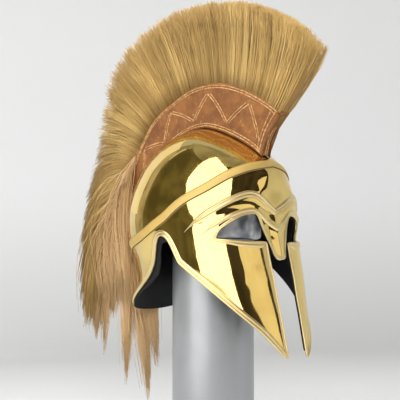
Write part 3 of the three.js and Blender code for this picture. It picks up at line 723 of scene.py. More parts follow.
def shell_point(turn, level, inset=0.0):
    """Points of the shell's outer face, or of a face that lies inset inside it."""
    s = sizes()
    turn, level = np.broadcast_arrays(np.asarray(turn, float), np.asarray(level, float))
    start = s.shell_height - s.dome_rise
    up = np.clip((level - start) / (s.dome_rise - inset), 0, 1)
    share = np.where(level > start, start + up * s.dome_rise, level) / s.shell_height
    close = np.sqrt(np.maximum(1 - up * up, 0))
    forward, side = np.cos(np.radians(turn)), np.sin(np.radians(turn))
    ahead = forward >= 0
    power = np.where(ahead, section_column("face", share), NAPE_SQUARENESS)
    reach = np.where(ahead, s.front_reach * section_column("front", share),
                     s.nape_reach * section_column("nape", share))
    cheek = smoothstep(-SIDE_BLEND, SIDE_BLEND, forward)
    half = s.shell_width / 2 * (section_column("neck", share) * (1 - cheek)
                                + section_column("cheek", share) * cheek)
    even = (np.abs(forward) ** power + np.abs(side) ** power) ** (-1 / power)
    centre = s.front_reach * section_column("centre", share)
    return np.stack([
        close * (half - inset) * side * even,
        -(centre + close * (reach - inset) * forward * even),
        level + s.tip_lift,
    ], -1)


# Small steps to either side, in degrees and metres, by which slopes are measured.
TURN_NUDGE = 0.4
LEVEL_NUDGE = 0.0005


def small_steps(face, turn, level):
    """How far a face's points move across small steps of turn, and of level."""
    across = face(turn + TURN_NUDGE, level) - face(turn - TURN_NUDGE, level)
    upward = face(turn, level + LEVEL_NUDGE) - face(turn, level - LEVEL_NUDGE)
    return across, upward


def outward(face, turn, level):
    """Outward direction of a face that is given by turn and level."""
    return unit(np.cross(*small_steps(face, turn, level)))


def path_points(path, count):
    """Turns and levels along a mirrored path, from the wearer's right to the left."""
    half = spline(path, count)
    if path[0][0] < path[-1][0]:
        half = half[::-1]
    full = np.concatenate([half, (half * (-1, 1))[::-1][1:]])[::-1]
    return full[:, 0], full[:, 1] * sizes().shell_height


def near_line(points, line):
    """Distance of points from a line of points, and the nearest point's number."""
    tree = kdtree.KDTree(len(line))
    for i, place in enumerate(line):
        tree.insert(place, i)
    tree.balance()
    flat = points.reshape(-1, 3)
    found = np.array([tree.find(place)[1:] for place in flat])
    return found[:, 1], found[:, 0].astype(int)


# Broad swellings along the brow and lid folds: path, width and rise in metres. They lie
# within these turns and shares of the shell's height.
SWELLINGS = ((BROW_PATH, 0.0075, 0.0022), (LID_PATH, 0.0055, 0.0016))
SWELLING_TURNS = 88
SWELLING_LEVELS = (0.3, 0.8)
SWELLING_STEPS = 120
SWELLING_FADE = 0.2
LEAST_END = 0.08
# Shares of the shell's height where the nose guard's ridge begins and ends.
KEEL_BEGINS = (0.39, 0.41)
KEEL_ENDS = (0.55, 0.63)
_swelling_lines = []


def shell_face(turn, level):
    """Outer face with the nose guard's ridge and the swellings of brow and lid."""
    s = sizes()
    turn, level = np.broadcast_arrays(np.asarray(turn, float), np.asarray(level, float))
    points = shell_point(turn, level)
    share = level / s.shell_height
    low, high = SWELLING_LEVELS
    ahead = (np.abs(turn) < SWELLING_TURNS) & (share < high) & (share > low)
    if not ahead.any():
        return points
    out = outward(shell_point, turn[ahead], level[ahead])
    fade = smoothstep(*KEEL_BEGINS, share[ahead]) * (1 - smoothstep(*KEEL_ENDS, share[ahead]))
    ridge = np.clip(1 - np.abs(points[ahead][:, 0]) / s.keel_width, 0, 1)
    lift = s.keel_rise * ridge * fade
    if not _swelling_lines:
        for path, _, _ in SWELLINGS:
            _swelling_lines.append(shell_point(*path_points(path, SWELLING_STEPS)))
    for line, (_, width, rise) in zip(_swelling_lines, SWELLINGS):
        away, nearest = near_line(points[ahead], line)
        fall = eased_ends(len(line), SWELLING_FADE)[nearest] - LEAST_END
        lift = lift + rise * fall * np.exp(-(away / width) ** 2)
    points = points.copy()
    points[ahead] += out * lift[:, None]
    return points


HALVINGS = 40


def turn_where(measure, level, target, low, high):
    """Turns at which a measure of the shell has a value, by halving."""
    a = np.full(len(level), float(low))
    b = np.full(len(level), float(high))
    low_above = measure(shell_point(a, level)) > target
    for _ in range(HALVINGS):
        middle = (a + b) / 2
        same = (measure(shell_point(middle, level)) > target) == low_above
        a = np.where(same, middle, a)
        b = np.where(same, b, middle)
    return (a + b) / 2


def lower_edge(count=400):
    """Lower edge seen from the side, as forward and level, from the nape to the front."""
    s = sizes()

    def placed(table):
        scale = [(s.front_reach if f > 0 else s.nape_reach, s.shell_height) for f, _ in table]
        return spline(np.array(table) * scale, count)

    edge = np.concatenate([placed(CHEEK_EDGE), placed(NAPE_EDGE)[1:]])[::-1]
    rising = np.concatenate([[True], np.diff(np.maximum.accumulate(edge[:, 0])) > 0])
    return edge[rising]


# Width of the slot's lower end as a share of its width, steps along each of the opening's
# edges, and the share of the shell's height below which the opening is looked for.
SLOT_TIP_SHARE = 0.85
EDGE_STEPS = 80
FACE_TOP = 0.7


def opening_edge():
    """Left half of the face opening seen from the front, as side and level."""
    s = sizes()
    half, slot = s.eye_span / 2, s.slot_width / 2

    def eye(row):
        return (row[0] * half, s.eye_level + row[1] * s.eye_height)

    def nose(row):
        return (row[0] * s.nose_width / 2, s.eye_level - row[1] * s.shell_height)

    corner = (slot, s.eye_level)
    upper = spline([eye(row) for row in EYE_UPPER] + [nose(row) for row in NOSE_EDGE], 2 * EDGE_STEPS)
    lower = spline([eye(row) for row in EYE_LOWER] + [corner], EDGE_STEPS)
    slot_line = np.linspace(corner, (slot * SLOT_TIP_SHARE, -s.slot_depth), EDGE_STEPS)
    return upper, lower, slot_line


def polygon_distance(points, polygon):
    """Distance of flat points from a closed polygon, above zero outside it."""
    a = polygon
    b = np.roll(polygon, -1, axis=0)
    run = b - a
    size = np.maximum((run**2).sum(-1), 1e-18)
    nearest = np.full(len(points), np.inf)
    inside = np.zeros(len(points), bool)
    for start, end, step, square in zip(a, b, run, size):
        t = np.clip(((points - start) @ step) / square, 0, 1)
        gap = points - start - t[:, None] * step
        nearest = np.minimum(nearest, (gap**2).sum(-1))
        crosses = (start[1] > points[:, 1]) != (end[1] > points[:, 1])
        rise = end[1] - start[1]
        at = start[0] + (points[:, 1] - start[1]) * step[0] / (rise if rise else 1e-18)
        inside ^= crosses & (points[:, 0] < at)
    return np.sqrt(nearest) * np.where(inside, -1, 1)


def metal_left(points, margin):
    """Above zero where the sheet stays: above its lower edge and outside the face opening."""
    s = sizes()
    flat = points.reshape(-1, 3)
    margin = np.broadcast_to(margin, points.shape[:-1]).reshape(-1)
    forward, level = -flat[:, 1], flat[:, 2] - s.tip_lift
    edge = lower_edge()
    slope = np.gradient(edge[:, 1], edge[:, 0])
    height = level - np.interp(forward, edge[:, 0], edge[:, 1])
    steep = np.interp(forward, edge[:, 0], slope)
    keep = height / np.sqrt(1 + steep**2) - margin
    upper, lower, slot_line = opening_edge()
    half = np.concatenate([upper[::-1], lower[1:], slot_line[1:]])[::2]
    polygon = np.concatenate([half, (half * (-1, 1))[::-1]])
    front = (forward > 0) & (level < s.shell_height * FACE_TOP)
    seen = polygon_distance(np.stack([flat[front, 0], level[front]], -1), polygon)
    keep[front] = np.minimum(keep[front], seen - margin[front])
    return keep.reshape(points.shape[:-1])


def clipped_sheet(layers, keep):
    """Two faces of a sheet on one grid, cut along the zero line and joined at the cut."""
    rows, cols = keep.shape
    wide = np.concatenate(layers, -1).reshape(rows * cols, -1)
    kept = keep.reshape(-1) > 0
    index = np.full(rows * cols, -1)
    index[kept] = np.arange(kept.sum())
    points = [wide[kept]]
    total = int(kept.sum())
    values = keep.reshape(-1)
    cuts = {}
    faces = []

    def cut(a, b):
        nonlocal total
        key = (min(a, b), max(a, b))
        if key not in cuts:
            t = values[a] / (values[a] - values[b])
            points.append((wide[a] + t * (wide[b] - wide[a]))[None])
            cuts[key] = total
            total += 1
        return cuts[key]

    for r in range(rows - 1):
        for c in range(cols):
            d = (c + 1) % cols
            corners = (r * cols + c, r * cols + d, (r + 1) * cols + d, (r + 1) * cols + c)
            if not any(kept[i] for i in corners):
                continue
            outline = []
            for i, corner in enumerate(corners):
                after = corners[(i + 1) % 4]
                if kept[corner]:
                    outline.append(int(index[corner]))
                if kept[corner] != kept[after]:
                    outline.append(cut(corner, after))
            if len(outline) >= 3:
                faces.append(outline)
    points = np.concatenate(points)
    edges = dict.fromkeys((a, b) for face in faces for a, b in zip(face, face[1:] + face[:1]))
    border = [(a, b) for a, b in edges if (b, a) not in edges]
    both = np.concatenate([points[:, :3], points[:, 3:]])
    turned = [[i + total for i in reversed(face)] for face in faces]
    seams = [[b, a, a + total, b + total] for a, b in border]
    return both, faces + turned + seams


def crown_levels(steps):
    """Levels up the dome, closer together towards the crown."""
    s = sizes()
    angle = np.linspace(0, math.pi / 2, steps, endpoint=False)[1:]
    return s.shell_height - s.dome_rise + s.dome_rise * np.sin(angle)


def inset_levels(levels, inset):
    """Levels of a face inside the shell, whose crown lies lower by the inset."""
    s = sizes()
    start = s.shell_height - s.dome_rise
    shrink = (s.dome_rise - inset) / s.dome_rise
    return np.where(levels > start, start + (levels - start) * shrink, levels)


# Grids of the brass and the lining: steps round, up to the dome and up the dome. A share of
# the turns crowds together at the front, and the grid begins below the cheek tips.
BRASS_GRID = (330, 92, 46)
LINING_GRID = (200, 60, 26)
FRONT_CROWDING = 0.28
LOWEST_SHARE = -0.02
BRASS_MARGIN = 0.0006


def sheet_grid(turn_steps, level_steps, dome_steps):
    """Turns and levels of a sheet's grid, closer together at the front."""
    s = sizes()
    even = np.linspace(-1, 1, turn_steps, endpoint=False)
    turns = 180 * ((1 - FRONT_CROWDING) * even + FRONT_CROWDING * even**3)
    lowest = LOWEST_SHARE * s.shell_height
    below = np.linspace(lowest, s.shell_height - s.dome_rise, level_steps)
    return np.meshgrid(turns, np.concatenate([below, crown_levels(dome_steps)]))


def close_crown(made):
    """Closes the small round hole that a sheet's last ring leaves at the crown."""
    work = bmesh.new()
    work.from_mesh(made.data)
    rim = [edge for edge in work.edges if edge.is_boundary]
    bmesh.ops.holes_fill(work, edges=rim, sides=0)
    work.to_mesh(made.data)
    work.free()
    made.data.polygons.foreach_set("use_smooth", [True] * len(made.data.polygons))
    made.data.update()


def make_sheet(name, faces, keep, finish):
    """Sheet between two faces, cut where keep falls below zero and closed at its crown."""
    parts = MeshParts()
    parts.add(*clipped_sheet(faces, keep))
    made = parts.piece(name, [finish])
    close_crown(made)
    return made


def make_brass_shell():
    """Brass sheet of the skull, nape, cheeks and nose guard."""
    s = sizes()
    turns, levels = sheet_grid(*BRASS_GRID)
    outer = shell_face(turns, levels)
    inner = shell_point(turns, inset_levels(levels, s.shell_wall), s.shell_wall)
    keep = metal_left(outer, BRASS_MARGIN)
    return make_sheet("brass_shell", [outer, inner], keep, brass_finish())


# Raised strips on the shell

def strip_rings(turn, level, section, width, rise, closed=False, hand=1):
    """Rings of a section that is swept along places on the shell.

    Width and rise may change along the path. Seen from outside, the section's across is
    turned to the path's left, or to its right where hand is -1.
    """
    point = shell_face(turn, level)
    if closed:
        run = unit(np.roll(point, -1, 0) - np.roll(point, 1, 0))
    else:
        run = unit(np.gradient(point, axis=0))
    across = hand * unit(np.cross(outward(shell_face, turn, level), run))
    by_turn, by_level = small_steps(shell_point, turn, level)
    by_turn, by_level = by_turn / (2 * TURN_NUDGE), by_level / (2 * LEVEL_NUDGE)
    tt, tl, ll = (by_turn**2).sum(-1), (by_turn * by_level).sum(-1), (by_level**2).sum(-1)
    at, al = (across * by_turn).sum(-1), (across * by_level).sum(-1)
    spread = tt * ll - tl * tl
    section = np.asarray(section, float)
    u = section[None, :, 0] * np.broadcast_to(width, len(point))[:, None]
    h = section[None, :, 1] * np.broadcast_to(rise, len(point))[:, None]
    turns = turn[:, None] + ((ll * at - tl * al) / spread)[:, None] * u
    levels = level[:, None] + ((tt * al - tl * at) / spread)[:, None] * u
    return shell_face(turns, levels) + outward(shell_face, turns, levels) * h[..., None]


def eased_ends(count, share):
    """One along a path, falling smoothly to a small value at both ends."""
    at = np.linspace(0, 1, count)
    return LEAST_END + (1 - LEAST_END) * smoothstep(0, share, at) * smoothstep(0, share, 1 - at)


def travelled(points):
    """Distance along a line of points, up to each of them."""
    return np.concatenate([[0], np.cumsum(np.linalg.norm(np.diff(points, axis=0), axis=1))])


def resampled(turn, level, step):
    """Places at even distances along a path on the shell."""
    away = travelled(shell_point(turn, level))
    at = np.linspace(0, away[-1], max(8, int(away[-1] / step)))
    return np.interp(at, away, turn), np.interp(at, away, level)


# Steps along a raised line's path, distances between the rings of the band and of the folds,
# and the share of a fold over which each end fades.
PATH_STEPS = 140
BAND_STEP = 0.003
FOLD_STEP = 0.0016
FOLD_FADE = 0.14


def make_raised_lines():
    """Forehead band, brow folds and lid folds. The folds wear the frame's plain brass."""
    s = sizes()
    turn, level = resampled(*path_points(BAND_PATH, PATH_STEPS), BAND_STEP)
    # The band and the folds carry painted shade where they meet the shell and in the folds' grooves.
    band = MeshParts()
    band.loft(strip_rings(turn[:-1], level[:-1], BAND_SECTION, s.band_width, s.band_rise,
                          closed=True), closed=True, marks=BAND_CREASE_SHADE)
    band.piece("forehead_band", [satin_brass_finish()])
    for name, path, section, dirt, width, rise in (
        ("brow_folds", BROW_PATH, DOUBLE_BEAD, DOUBLE_CREASE_SHADE, s.brow_width, s.brow_rise),
        ("lid_folds", LID_PATH, SINGLE_BEAD, SINGLE_CREASE_SHADE, s.lid_width, s.lid_rise),
    ):
        turn, level = resampled(*path_points(path, PATH_STEPS), FOLD_STEP)
        ends = eased_ends(len(turn), FOLD_FADE)
        fold = MeshParts()
        fold.loft(strip_rings(turn, level, section, width * ends, rise * ends), marks=dirt)
        fold.piece(name, [bpy.data.materials["brass"]])


# Width of the rolled edge at the start and end of each stretch, as shares of the roll's width.
ROLL_SHARES = {
    "lower": (1.0, 1.0),
    "slot": (0.62, 0.62),
    "eye_lower": (1.25, 0.5),
    "eye_upper": (0.4, 0.6),
}
# Distance between the roll's rings, rounds of easing of their places, shares and widths, the
# share of a tight bend that the roll may fill, its least width, and how close along the edge
# no bend is looked for.
ROLL_STEP = 0.0016
PLACE_EASING = 3
SHARE_EASING = 12
WIDTH_EASING = 6
ROOM_SHARE = 0.92
LEAST_ROLL = 0.0012
NEIGHBOURS = 0.0025


def eased(values, rounds):
    """Values along a path, each drawn towards its neighbours. The two ends stay."""
    for _ in range(rounds):
        values[1:-1] = (values[:-2] + 2 * values[1:-1] + values[2:]) / 4
    return values


def edge_loop():
    """Turn, level and roll share round the shell's whole edge, as one closed loop."""
    s = sizes()
    lower = lower_edge()
    upper, eye_lower, slot_line = opening_edge()
    back = shell_point(180.0, np.interp(-s.nape_reach, lower[:, 0], lower[:, 1]))[1]
    lower = lower[lower[:, 0] > -back]
    turn = turn_where(lambda p: -p[:, 1], lower[:, 1], lower[:, 0], 0, 180)
    points = shell_point(turn, lower[:, 1])
    slot_at = np.interp(lower[:, 1], slot_line[::-1, 1], slot_line[::-1, 0])
    stays = (points[:, 0] > slot_at) | (lower[:, 0] < 0)
    turn, level = turn[stays], lower[stays, 1]
    stretches = [(np.concatenate([[180.0], turn]), np.concatenate([level[:1], level]), "lower")]
    slot_line = slot_line[::-1]
    slot_line = slot_line[slot_line[:, 1] > level[-1]]
    for edge, kind in ((slot_line, "slot"), (eye_lower[::-1], "eye_lower"), (upper, "eye_upper")):
        side = np.maximum(edge[:, 0], 1e-6)
        turns = turn_where(lambda p: p[:, 0], edge[:, 1], side, 0, 90)
        stretches.append((turns, edge[:, 1], kind))
    turn, level = (np.concatenate([part[i] for part in stretches]) for i in (0, 1))
    share = np.concatenate([
        np.linspace(*ROLL_SHARES[kind], len(turns)) for turns, _, kind in stretches])
    turn, level, share = (
        np.concatenate([half, sign * half[::-1][1:-1]])
        for half, sign in ((turn, -1), (level, 1), (share, 1)))
    away = travelled(shell_point(turn, level))
    at = np.linspace(0, away[-1], int(away[-1] / ROLL_STEP))
    turn, level, share = (np.interp(at, away, values) for values in (turn, level, share))
    return eased(turn, PLACE_EASING), eased(level, PLACE_EASING), eased(share, SHARE_EASING)


def room_inward(points, across):
    """Radius of the largest circle that touches the edge at each point from inside."""
    gap = points[None, :, :] - points[:, None, :]
    square = (gap**2).sum(-1)
    toward = (gap * across[:, None, :]).sum(-1)
    radius = np.where(toward > 1e-6, square / (2 * np.maximum(toward, 1e-9)), np.inf)
    near = square < NEIGHBOURS**2
    radius[near] = np.inf
    return radius.min(1)


def make_rolled_edges():
    """Rolled double edge round the whole shell, in the frame's plain brass."""
    turn, level, share = edge_loop()
    points = shell_point(turn, level)
    run = unit(np.roll(points, -1, 0) - np.roll(points, 1, 0))
    across = -unit(np.cross(outward(shell_point, turn, level), run))
    room = ROOM_SHARE * room_inward(points, across)
    width = np.minimum(sizes().roll_width * share, room)
    for _ in range(WIDTH_EASING):
        width = (np.roll(width, 1) + 2 * width + np.roll(width, -1)) / 4
    width = np.maximum(width, LEAST_ROLL)
    # The roll carries painted shade in the groove between its beads, under it and on the skirt beside
    # it.
    parts = MeshParts()
    parts.loft(strip_rings(turn, level, ROLL_SECTION, width, width, closed=True, hand=-1),
               closed=True, marks=ROLL_CREASE_SHADE)
    parts.piece("rolled_edges", [bpy.data.materials["brass"]])


# The lining's margin at the brass's edge, and how far it hangs below the brass behind the
# ears. Between the second pair of turns, towards the nape, part of that is taken back.
LINING_MARGIN = 0.0004
HANG_BEGINS = (84, 94)
HANG_LESSENS = (112, 135)
HANG = 0.010
HANG_TAKEN_BACK = 0.005


def make_lining():
    """Black sheet inside the brass."""
    s = sizes()
    outside = s.shell_wall + s.lining_gap
    inside = outside + s.lining_wall
    turns, levels = sheet_grid(*LINING_GRID)
    faces = [shell_point(turns, inset_levels(levels, inset), inset) for inset in (outside, inside)]
    behind = np.abs(turns)
    lessened = HANG - HANG_TAKEN_BACK * smoothstep(*HANG_LESSENS, behind)
    keep = metal_left(faces[0], LINING_MARGIN - smoothstep(*HANG_BEGINS, behind) * lessened)
    made = make_sheet("black_lining", faces, keep, lining_finish())
    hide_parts("lining")


# Crest box

CROWN_STEPS = 60


def crown_line(lift):
    """Middle line of the crown under the crest, as forward and level, front to end."""
    s = sizes()
    rise = s.shell_height - s.crest_start
    fall = s.shell_height - s.crest_end
    quarter = math.pi / 2
    front = s.crest_start + rise * np.sin(np.linspace(0, quarter, CROWN_STEPS, endpoint=False))
    back = s.crest_end + fall * np.cos(np.linspace(0, quarter, 2 * CROWN_STEPS))
    ahead = shell_point(np.zeros(len(front)), front)
    behind = shell_point(np.full(len(back), 180.0), back)
    points = np.concatenate([ahead, behind])
    line = np.stack([-points[:, 1], points[:, 2] - s.tip_lift], -1)
    run = unit(np.gradient(line, axis=0))
    return line + np.stack([run[:, 1], -run[:, 0]], -1) * lift


def crest_point(angle, radius):
    """Point at an angle and distance from the crest's pivot, as forward and level."""
    s = sizes()
    turn = np.radians(angle)
    return np.stack([s.pivot_forward + radius * np.cos(turn),
                     s.pivot_level + radius * np.sin(turn)], -1)


def crest_value(column, angle):
    """Value of a column of the crest's table at a root angle."""
    return smooth_column(rows_of(CREST_COLUMNS, CREST_ROWS), "root", column, angle)


def box_edge(angle):
    """Outer edge of the leather at an angle, as forward and level."""
    return crest_point(angle, sizes().crest_radius * crest_value("box", angle))


FIRST_ROOT = CREST_ROWS[0][0]
LAST_ROOT = CREST_ROWS[-1][0]
# Gap between the leather and the brass, and the share of the box over which the hollow of
# its front edge fades.
CREST_GAP = 0.0004
HOLLOW_FADE = 0.06


def leather_place(v, u):
    """Place on the leather: v runs from the front to the end, u from the brass outwards."""
    s = sizes()
    v, u = np.broadcast_arrays(np.asarray(v, float), np.asarray(u, float))
    crown = crown_line(CREST_GAP)
    arm = crown - (s.pivot_forward, s.pivot_level)
    angle = np.degrees(np.arctan2(arm[:, 1], arm[:, 0]))
    angle = np.where(angle < -90, angle + 360, angle)
    radius = np.linalg.norm(arm, axis=1)
    inner_at = angle[0] + (angle[-1] - angle[0]) * v
    inner = crest_point(inner_at, np.interp(inner_at, angle, radius))
    outer = box_edge(FIRST_ROOT + (LAST_ROOT - FIRST_ROOT) * v)
    place = inner + (outer - inner) * u[..., None]
    hollow = s.crest_hollow * 2 * u * (1 - u) * (1 - smoothstep(0, HOLLOW_FADE, v))
    return place - np.stack([hollow, np.zeros_like(hollow)], -1)


def in_crest(places, side):
    """Points of the crest's plane at a distance to the wearer's left."""
    side = np.broadcast_to(side, places.shape[:-1])
    return np.stack([side, -places[..., 0], places[..., 1] + sizes().tip_lift], -1)


def box_half(gap):
    """Half the width inside the crest box, less a gap."""
    s = sizes()
    return s.crest_thickness / 2 - s.leather_wall - gap


# A leather side's rings, the steps across its face, the share over which its edges round
# off, how deep the rounding's corner and shoulder lie, and the thin lip past the outer edge.
LEATHER_RINGS = 240
FACE_STEPS = 14
EDGE_SHARE = 0.03
CORNER = 0.0009
SHOULDER = 0.0003
LIP_SHARE = 1.012
LIP_DEPTH = 0.0014

# Tooled lines: their section as across and out, the border lines' places across the leather,
# the end lines' places along it, and the double zigzag's angles, shares, range and spacing.
LINE_SECTION = ((-0.5, -0.25), (-0.3, 0.75), (0.0, 1.0), (0.3, 0.75), (0.5, -0.25))
LINE_WIDTH = 0.0021
ZIGZAG_WIDTH = 0.0020
LINE_RISE = 0.0008
BORDER_SHARES = (0.055, 0.105, 0.9, 0.95)
BORDER_REACH = (0.012, 0.995)
END_PLACES = (0.016, 0.034)
END_REACH = (0.12, 0.93)
ZIGZAG_FIRST = 47.5
ZIGZAG_STEP = 13.3
ZIGZAG_LINES = 10
ZIGZAG_SHARES = (0.2, 0.79)
ZIGZAG_REACH = (0.01, 0.995)
ZIGZAG_SHIFTS = (-0.0065, 0.0065)


def leather_wall(sign):
    """Rings of one leather side, its edges rounded over."""
    s = sizes()
    out = s.crest_thickness / 2
    inside, corner, shoulder = out - s.leather_wall, out - CORNER, out - SHOULDER
    u = np.concatenate([
        [0.0, 0.0, EDGE_SHARE / 3, EDGE_SHARE],
        np.linspace(2 * EDGE_SHARE, 1 - 2 * EDGE_SHARE, FACE_STEPS),
        [1 - EDGE_SHARE, 1 - EDGE_SHARE / 3, 1.0, LIP_SHARE, 1.0, 0.5],
    ])
    x = np.concatenate([
        [inside, corner, shoulder, out],
        np.full(FACE_STEPS, out),
        [out, shoulder, corner, out - LIP_DEPTH, inside, inside],
    ])
    places = leather_place(np.linspace(0, 1, LEATHER_RINGS)[:, None], u[None, :])
    return in_crest(places, sign * x[None, :])


def tooled_line(parts, v, u, sign, width):
    """One raised tooled line on a leather side."""
    face = sizes().crest_thickness / 2
    places = leather_place(v, u)
    run = unit(np.gradient(places, axis=0))
    across = np.stack([-run[:, 1], run[:, 0]], -1)
    rings = [in_crest(places + across * width * a, sign * (face + LINE_RISE * h))
             for a, h in LINE_SECTION]
    parts.loft(np.stack(rings, 1), slot=1)


def make_crest_sides():
    """Both leather sides, each with double border lines and a double zigzag."""
    leather = leather_finish()
    tooling = tooling_finish()
    span = LAST_ROOT - FIRST_ROOT
    v = np.linspace(*BORDER_REACH, 200)
    u = np.linspace(*END_REACH, 24)
    t = np.linspace(0.03, 0.97, 14)
    for name, sign in (("crest_side_right", -1), ("crest_side_left", 1)):
        parts = MeshParts()
        parts.loft(leather_wall(sign))
        for share in BORDER_SHARES:
            tooled_line(parts, v, np.full_like(v, share), sign, LINE_WIDTH)
        for place in END_PLACES:
            tooled_line(parts, np.full_like(u, place), u, sign, LINE_WIDTH)
        for i in range(ZIGZAG_LINES):
            begin, end = ((ZIGZAG_FIRST + (i + k) * ZIGZAG_STEP - FIRST_ROOT) / span
                          for k in (0, 1))
            low, high = ZIGZAG_SHARES if i % 2 == 0 else ZIGZAG_SHARES[::-1]
            for shift in ZIGZAG_SHIFTS:
                line_v = np.clip(begin + (end - begin) * t + shift, *ZIGZAG_REACH)
                tooled_line(parts, line_v, low + (high - low) * t, sign, ZIGZAG_WIDTH)
        made = parts.piece(name + "_leather", [leather, tooling])
        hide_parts(name)


# Front of the crest box: places of its face and back along the box, its reach across the
# leather, its gap to the sides, three upright seams and a rolled lip with narrower ends.
FRONT_PLACES = (0.004, 0.016)
FRONT_REACH = (0.03, 0.985)
FRONT_GAP = 0.0002
SEAM_SIDES = (-0.0036, 0.0, 0.0036)
SEAM_HALF = 0.0009
SEAM_RISE = 0.0007
ROLLED_LIP_PLACE = 0.965
ROLLED_LIP_RADIUS = 0.0030
ROLLED_LIP_ENDS = 0.6
ROLLED_LIP_STEPS = 12


def make_crest_front():
    """Leather end that closes the front of the crest box, with its rolled upper lip."""
    s = sizes()
    parts = MeshParts()
    half = box_half(FRONT_GAP)
    u = np.linspace(*FRONT_REACH, 40)
    face, back = (leather_place(np.full_like(u, place), u) for place in FRONT_PLACES)
    across = np.linspace(-half, half, 9)
    ring = [in_crest(face, x) for x in across] + [in_crest(back, x) for x in across[::-1]]
    parts.loft(np.stack(ring, 1))
    turn = np.linspace(0, 2 * math.pi, 6, endpoint=False)
    for x in SEAM_SIDES:
        rings = [in_crest(face, x) + (SEAM_HALF * math.cos(a), SEAM_RISE * math.sin(a), 0.0)
                 for a in turn]
        parts.loft(np.stack(rings, 1), slot=1)
    lip = leather_place(np.array([FRONT_PLACES[0]]), np.array([ROLLED_LIP_PLACE]))[0]
    sides = np.linspace(-s.crest_thickness / 2, s.crest_thickness / 2, ROLLED_LIP_STEPS)
    radii = np.full(ROLLED_LIP_STEPS, ROLLED_LIP_RADIUS)
    radii[[0, -1]] *= ROLLED_LIP_ENDS
    turn = np.linspace(0, 2 * math.pi, 14, endpoint=False)
    rings = [[(x, -lip[0] + r * math.cos(a), lip[1] + s.tip_lift + r * math.sin(a)) for a in turn]
             for x, r in zip(sides, radii)]
    parts.loft(np.array(rings))
    leather, tooling = (bpy.data.materials[name] for name in ("tan_leather", "tooled_line"))
    parts.piece("crest_front_leather", [leather, tooling])


# Hair

STRAND_STEPS = 4
STRAND_SIDES = 3
# A direction that no strand runs along, and how a strand narrows towards its tip.
STRAND_ASIDE = np.array([0.35, 0.2, 0.9])
TAPER = 0.6
TAPER_POWER = 2.5
THINNEST = 0.08


def bezier(start, bend, end, t):
    """Points at shares t along curves, one row for each curve."""
    t = np.asarray(t)[..., None]
    return (1 - t) ** 2 * start[:, None] + 2 * t * (1 - t) * bend[:, None] + t**2 * end[:, None]


def hair_mesh(name, lines, thick, tone):
    """Closed three-sided strands round lines, as one mesh with a tone for each strand."""
    count, steps = lines.shape[:2]
    run = unit(np.gradient(lines, axis=1))
    side = unit(np.cross(run, STRAND_ASIDE))
    other = np.cross(run, side)
    along = np.linspace(0, 1, steps)
    taper = np.clip(1.0 - TAPER * along**TAPER_POWER, THINNEST, 1.0)
    radius = (thick[:, None] * taper[None, :] / 2)[..., None, None]
    angles = (np.arange(STRAND_SIDES) * 2 * math.pi / STRAND_SIDES)[:, None]
    ring = side[:, :, None, :] * np.cos(angles) + other[:, :, None, :] * np.sin(angles)
    points = (lines[:, :, None, :] + ring * radius).reshape(-1, 3)
    per = steps * STRAND_SIDES
    pattern = []
    for r in range(steps - 1):
        for k in range(STRAND_SIDES):
            a, b = r * STRAND_SIDES + k, r * STRAND_SIDES + (k + 1) % STRAND_SIDES
            pattern.append((a, b, b + STRAND_SIDES, a + STRAND_SIDES))
    ends = [range(STRAND_SIDES)[::-1], range(per - STRAND_SIDES, per)]
    first = (np.arange(count) * per)[:, None, None]
    quads = (np.array(pattern)[None] + first).reshape(-1, 4)
    caps = (np.array([list(end) for end in ends])[None] + first).reshape(-1, STRAND_SIDES)
    mesh = bpy.data.meshes.new(name)
    mesh.vertices.add(len(points))
    mesh.vertices.foreach_set("co", points.ravel())
    loops = np.concatenate([quads.ravel(), caps.ravel()])
    mesh.loops.add(len(loops))
    mesh.loops.foreach_set("vertex_index", loops)
    corners = np.concatenate([np.full(len(quads), 4), np.full(len(caps), STRAND_SIDES)])
    mesh.polygons.add(len(corners))
    mesh.polygons.foreach_set("loop_start", np.concatenate([[0], np.cumsum(corners)[:-1]]))
    mesh.polygons.foreach_set("use_smooth", np.ones(len(corners), bool))
    mesh.update(calc_edges=True)
    for label, values in (
        ("tone", np.repeat(tone, per)),
        ("along", np.tile(np.repeat(along, STRAND_SIDES), count)),
    ):
        kept = mesh.attributes.new(label, "FLOAT", "POINT")
        kept.data.foreach_set("value", values.astype(np.float32))
    mesh.validate()
    return mesh


def hair_ends(angle):
    """Root, bend and tip of hair at an angle, as forward and level."""
    s = sizes()
    root = box_edge(angle)
    tip = crest_point(crest_value("tip", angle), s.hair_radius * crest_value("reach", angle))
    out = unit(root - (s.pivot_forward, s.pivot_level))
    bend = root + out * 0.5 * np.linalg.norm(root - tip, axis=-1, keepdims=True)
    return root, bend, tip


# Locks of the standing hair: how many, how far they go past the first and last root, and
# the middle and spread of their length, and the spreads of their sway and tone.
CREST_LOCKS = 420
LOCK_MARGINS = (0.5, 2)
LOCK_LENGTH = (0.995, 0.008)
LOCK_SWAY = 0.0022
LOCK_TONE = 0.2

# A lock gathers strands within so many degrees and so much of the brush's half width, and
# pulls their tips by a share. Then come the tips' scatter in degrees, a strand's length as
# middle, spread and greatest, and the angles between which the hair becomes wispy.
LOCK_DEGREES = 1.3
LOCK_SIDE = 0.5
LOCK_PULL = (0.1, 0.5)
TIP_SCATTER = 0.9
STRAND_LENGTH = (0.985, 0.014)
GREATEST_LENGTH = 1.01
WISPY_ANGLES = (160, 172)
WISPY_CUT = (-0.06, 0.26)
WISPY_LOCK = 0.5
STRAY_SHARE = 0.03
STRAY_LENGTH = (0.75, 1.03)

